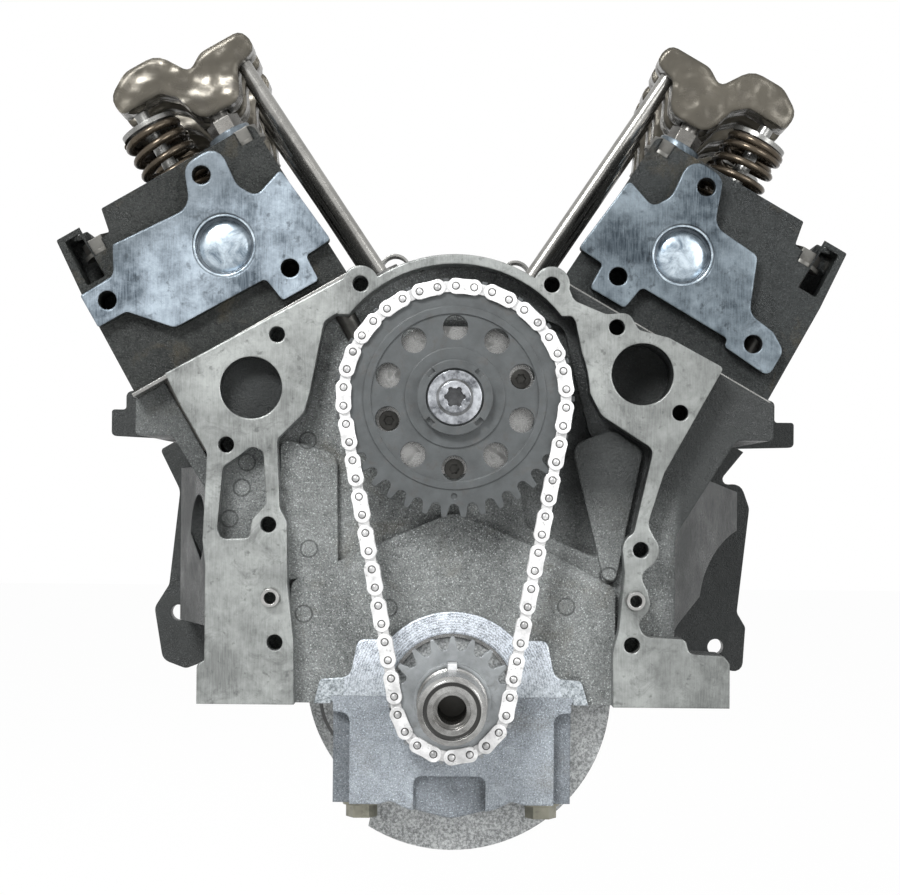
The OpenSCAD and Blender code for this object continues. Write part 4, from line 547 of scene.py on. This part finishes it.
def coil(height):
    """One valve spring on z: a wire swept up six turns, its first and last turns closed flat."""
    bm = bmesh.new()
    bmesh.ops.create_circle(bm, segments=14, radius=WIRE_R * MM, cap_ends=True,
        matrix=Matrix.Translation((COIL_R * MM, 0, WIRE_R * MM)) @ Matrix.Rotation(pi / 2, 4, "X"))
    geom = bm.faces[:]
    closed = 0.55 * WIRE_R
    middle = height - 2 * WIRE_R - 2 * closed
    for turns, rise in ((0.85, closed), (4.3, middle), (0.85, closed)):
        steps = int(turns * 30)
        spun = bmesh.ops.spin(bm, geom=geom, cent=(0, 0, 0), axis=(0, 0, 1), dvec=(0, 0, rise * MM / steps),
            angle=turns * 2 * pi, steps=steps, use_duplicate=False)
        geom = [part for part in spun["geom_last"] if isinstance(part, bmesh.types.BMFace)]
    return bm


def spring_seat(side, n, end):
    """The seat of the spring at one end of cylinder n of a bank; end is -1 in front and 1 behind."""
    y = FIRST_CYLINDER_Y + (BANK_STAGGER if side > 0 else 0) + BORE_PITCH * n + end * SPREAD
    return bank_matrix(side, y) @ Matrix.Translation((VALVE_U * MM, 0, SEAT_V * MM))


def make_spring(name, seat, height, replaced):
    bm = coil(height)
    bmesh.ops.transform(bm, matrix=seat, verts=bm.verts)
    spring = piece(name, bm, spring_steel)
    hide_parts(replaced)
    return spring


def make_front_springs():
    """The four springs whose rockers move, each with a mesh of its own."""
    height = TOP_V - SEAT_V
    for side, cylinder in ((-1, 1), (1, 4)):
        for end in SIDES:
            kind = "intake" if (end < 0) == (side > 0) else "exhaust"
            seat = spring_seat(side, 0, end)
            spring = make_spring(f"spring_{cylinder}_{kind}", seat, height, "front_valve_springs")
            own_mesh(spring)


def make_rear_springs():
    """The eight springs whose rockers stand still, shortened where the valve is open."""
    open_now = open_valves()
    for side in SIDES:
        bank = "left" if side < 0 else "right"
        for n in (1, 2):
            for end in SIDES:
                place = "rear" if (end > 0) == (side > 0) else "front"
                height = TOP_V - SEAT_V - (LIFT if (side, n, end) in open_now else 0)
                make_spring(f"spring_{bank}_{n}_{place}", spring_seat(side, n, end), height,
                    "rear_valve_springs")


def open_valves():
    """The rear valves that stand open at rest, read from the crank's angle and the firing order."""
    found = set()
    for side in SIDES:
        for n in (1, 2):
            for end in SIDES:
                centre = INTAKE_OPEN if end == -side else EXHAUST_OPEN
                off = ((CRANK_AT_REST + STROKES[side][n] - centre) / 2 + 180) % 360 - 180
                if abs(off) < 1:
                    found.add((side, n, end))
    return found


make_front_springs()
make_rear_springs()


def as_template(bm):
    """Frees a bmesh and leaves a mesh that stamp can copy."""
    mesh = bpy.data.meshes.new("template")
    bm.to_mesh(mesh)
    bm.free()
    return mesh


def stamp(bm, template, matrix):
    """Adds a copy of a small mesh to bm, which has lost no vertex, so that the new ones are its last."""
    start = len(bm.verts)
    bm.from_mesh(template)
    bm.verts.ensure_lookup_table()
    bmesh.ops.transform(bm, matrix=matrix, verts=bm.verts[start:])


def turned_part(outline, steps, axis=UP):
    """Turns an outline of radius and height, in millimetres, about the z axis or the y axis."""
    bm = bmesh.new()
    made = [bm.verts.new((r * MM, up * MM * axis[1], up * MM * axis[2])) for r, up in outline]
    edges = [bm.edges.new(pair) for pair in zip(made, made[1:])]
    bmesh.ops.spin(bm, geom=made + edges, cent=(0, 0, 0), axis=axis, angle=2 * pi, steps=steps,
        use_merge=True, use_duplicate=False)
    return bm


def make_plug_domes():
    """The pressed dome of each core plug in the heads' front ends."""
    for side in SIDES:
        bm = turned_part(PLUG_DOME, 40, axis=REAR)
        bmesh.ops.translate(bm, verts=bm.verts,
            vec=(side * PLUG_X * MM, -HEAD_FRONT[side] * MM, PLUG_Z * MM))
        dome = piece("plug_dome_left" if side < 0 else "plug_dome_right", bm, plug_zinc)


make_plug_domes()


def chain_joints():
    """Where the chain's pins are, from the lowest one up the right-hand side and down the left."""
    small, large = (PITCH / 2 / sin(pi / teeth) for teeth in (CRANK_TEETH, CAM_TEETH))
    small_step, large_step = 2 * pi / CRANK_TEETH, 2 * pi / CAM_TEETH
    lean = asin((large - small) / CAM_Z)
    on_small = floor((pi / 2 - lean) / small_step)
    on_large = floor((pi / 2 + lean) / large_step)
    leave = pi / 2 - lean - on_small * small_step
    first = sqrt(PITCH ** 2 - (small * (1 - cos(leave))) ** 2) - small * sin(leave)
    right = []
    for k in range(LINKS // 2 + 1):
        if k <= on_small:
            right.append((small * sin(k * small_step), -small * cos(k * small_step)))
        elif k < LINKS // 2 - on_large:
            t = first + (k - on_small - 1) * PITCH
            right.append((small * cos(lean) + t * sin(lean), -small * sin(lean) + t * cos(lean)))
        else:
            turn = (LINKS // 2 - k) * large_step
            right.append((large * sin(turn), CAM_Z + large * cos(turn)))
    return right + [(-x, z) for x, z in right[-2:0:-1]]


def link_plate():
    """One chain plate along x, PLATE_T thick along z: an oblong with a slight waist and a rounded rim."""
    bm = bmesh.new()
    bmesh.ops.create_circle(bm, segments=24, radius=PLATE_R * MM, cap_ends=True,
        matrix=Matrix.Rotation(pi / 24, 4, "Z"))
    for v in bm.verts:
        v.co.x += PITCH / 2 * MM * (1 if v.co.x > 0 else -1)
    longest = [e for e in bm.edges if e.calc_length() > PITCH / 2 * MM]
    cut = bmesh.ops.subdivide_edges(bm, edges=longest, cuts=1)
    for v in cut["geom_inner"]:
        if isinstance(v, bmesh.types.BMVert):
            v.co.y *= PLATE_WAIST
    bulk = bmesh.ops.extrude_face_region(bm, geom=bm.faces[:], use_keep_orig=True)
    raised = [v for v in bulk["geom"] if isinstance(v, bmesh.types.BMVert)]
    bmesh.ops.translate(bm, verts=raised, vec=(0, 0, PLATE_T * MM))
    rim = [e for e in bm.edges if e.verts[0] in raised and e.verts[1] in raised]
    bmesh.ops.bevel(bm, geom=rim, offset=PLATE_RIM * MM, segments=2, profile=0.5, affect="EDGES", material=-1)
    return as_template(bm)


def make_chain_links():
    """The outer links: bright plates, round pin ends and a dark ring about each pin, painted shade where the
    pin stands off the plate.
    """
    plate = link_plate()
    # A thin dark ring about each pin, painted shade.
    ring = as_template(turned_part([(PIN_R, 0.03), (PIN_R + 0.5, 0.03), (PIN_R + 0.6, -0.1)], 20))
    pin = as_template(turned_part([(PIN_R, -0.2), (PIN_R, 0.45), (PIN_R * 0.78, 0.72), (PIN_R * 0.4, 0.84),
        (0, 0.88)], 16))
    plates, pins, rings = bmesh.new(), bmesh.new(), bmesh.new()
    joints = chain_joints()
    for k in range(0, LINKS, 2):
        ends = joints[k], joints[(k + 1) % LINKS]
        (ax, az), (bx, bz) = ends
        middle = Vector(((ax + bx) / 2 * MM, CHAIN_Y * MM, (az + bz) / 2 * MM))
        tilt = Matrix.Rotation(-atan2(bz - az, bx - ax), 4, "Y")
        for out in (-1, 1):
            outwards = Matrix.Rotation(-pi / 2 * out, 4, "X")
            seat = Matrix.Translation((0, out * PLATE_INNER * MM, 0))
            stamp(plates, plate, Matrix.Translation(middle) @ tilt @ seat @ outwards)
            for x, z in ends:
                face = Matrix.Translation((x * MM, (CHAIN_Y + out * (PLATE_INNER + PLATE_T)) * MM, z * MM))
                stamp(rings, ring, face @ outwards)
                stamp(pins, pin, face @ outwards)
    for template in (plate, ring, pin):
        bpy.data.meshes.remove(template)
    for name, bm, finish in (("chain_plates", plates, chain_steel), ("chain_pins", pins, link_pin_steel),
            ("chain_pin_rings", rings, pin_ring_painted_shade)):
        made = piece(name, bm, finish, smooth=bm is pins)
        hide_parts("chain_outer_links")


make_chain_links()


# Stage, light and camera
def make_stage():
    """The pale floor, which glows towards the camera so that it stays white."""
    bm = bmesh.new()
    bmesh.ops.create_grid(bm, x_segments=1, y_segments=1, size=FLOOR_SIZE)
    bmesh.ops.translate(bm, verts=bm.verts, vec=(0, 0, FLOOR_LEVEL))
    mesh = bpy.data.meshes.new("floor")
    bm.to_mesh(mesh)
    bm.free()
    floor = bpy.data.objects.new("floor", mesh)
    bpy.context.scene.collection.objects.link(floor)
    g = Graph("pale_floor")
    g.shine((0.93, 0.93, 0.93), 0.9)
    glow = g.node("ShaderNodeEmission")
    glow.inputs[0].default_value = (1, 1, 1, 1)
    path = g.node("ShaderNodeLightPath")
    seen = g.math("MAXIMUM", path.outputs["Is Camera Ray"],
        g.math("MAXIMUM", path.outputs["Is Glossy Ray"], path.outputs["Is Transmission Ray"]))
    mixed = g.node("ShaderNodeMixShader")
    g.link(g.math("MULTIPLY", seen, 0.97), mixed.inputs[0])
    g.link(g.shader.outputs[0], mixed.inputs[1])
    g.link(glow.outputs[0], mixed.inputs[2])
    output = [n for n in g.tree.nodes if n.type == "OUTPUT_MATERIAL"][0]
    g.link(mixed.outputs[0], output.inputs["Surface"])
    dress(floor, g.material)


def make_world():
    """A white sky that lights the object less than it shows in the picture and in reflections."""
    world = bpy.data.worlds.new("studio")
    bpy.context.scene.world = world
    world.use_nodes = True
    tree = world.node_tree
    tree.nodes.clear()
    output = tree.nodes.new("ShaderNodeOutputWorld")
    lit = tree.nodes.new("ShaderNodeBackground")
    seen = tree.nodes.new("ShaderNodeBackground")
    lit.inputs[0].default_value = (1, 1, 1, 1)
    lit.inputs[1].default_value = SKY_LIGHT
    seen.inputs[0].default_value = (1, 1, 1, 1)
    seen.inputs[1].default_value = 1
    path = tree.nodes.new("ShaderNodeLightPath")
    either = tree.nodes.new("ShaderNodeMath")
    either.operation = "MAXIMUM"
    tree.links.new(path.outputs["Is Glossy Ray"], either.inputs[0])
    tree.links.new(path.outputs["Is Transmission Ray"], either.inputs[1])
    every = tree.nodes.new("ShaderNodeMath")
    every.operation = "MAXIMUM"
    tree.links.new(path.outputs["Is Camera Ray"], every.inputs[0])
    tree.links.new(either.outputs[0], every.inputs[1])
    mixed = tree.nodes.new("ShaderNodeMixShader")
    tree.links.new(every.outputs[0], mixed.inputs[0])
    tree.links.new(lit.outputs[0], mixed.inputs[1])
    tree.links.new(seen.outputs[0], mixed.inputs[2])
    tree.links.new(mixed.outputs[0], output.inputs[0])


def lamp(name, place, aim, size, power):
    """A rectangular area lamp at a place and aimed at another, in metres and watts."""
    data = bpy.data.lights.new(name, "AREA")
    data.shape = "RECTANGLE"
    data.size, data.size_y = size
    data.energy = power
    obj = bpy.data.objects.new(name, data)
    bpy.context.scene.collection.objects.link(obj)
    obj.location = place
    obj.rotation_euler = (Vector(aim) - Vector(place)).to_track_quat("-Z", "Y").to_euler()


def place_camera():
    """Straight at the timing end, 1.125 m ahead of the cover face and a hand above the crank."""
    data = bpy.data.cameras.new("camera")
    data.sensor_width = SENSOR
    data.lens = LENS
    data.shift_x, data.shift_y = (pixels / IMAGE_WIDTH for pixels in CAMERA_SHIFT)
    data.clip_start = 0.05
    data.clip_end = 50
    camera = bpy.data.objects.new("camera", data)
    bpy.context.scene.collection.objects.link(camera)
    turn = Matrix.Rotation(radians(90), 4, "X") @ Matrix.Rotation(radians(CAMERA_LEAN), 4, "Z")
    camera.matrix_world = Matrix.Translation(CAMERA_PLACE) @ turn
    bpy.context.scene.camera = camera


make_stage()
make_world()
lamp("key", (-0.62, -1.85, 1.2), (0, -0.3, 0.15), (0.6, 0.45), 40)
lamp("fill", (1.2, -1.7, 0.6), (0, -0.3, 0.12), (0.9, 0.9), 18)
lamp("top", (0.1, 0.1, 1.7), (0, -0.25, 0.2), (1.2, 0.8), 16)
place_camera()
bpy.context.scene.view_settings.view_transform = "Standard"
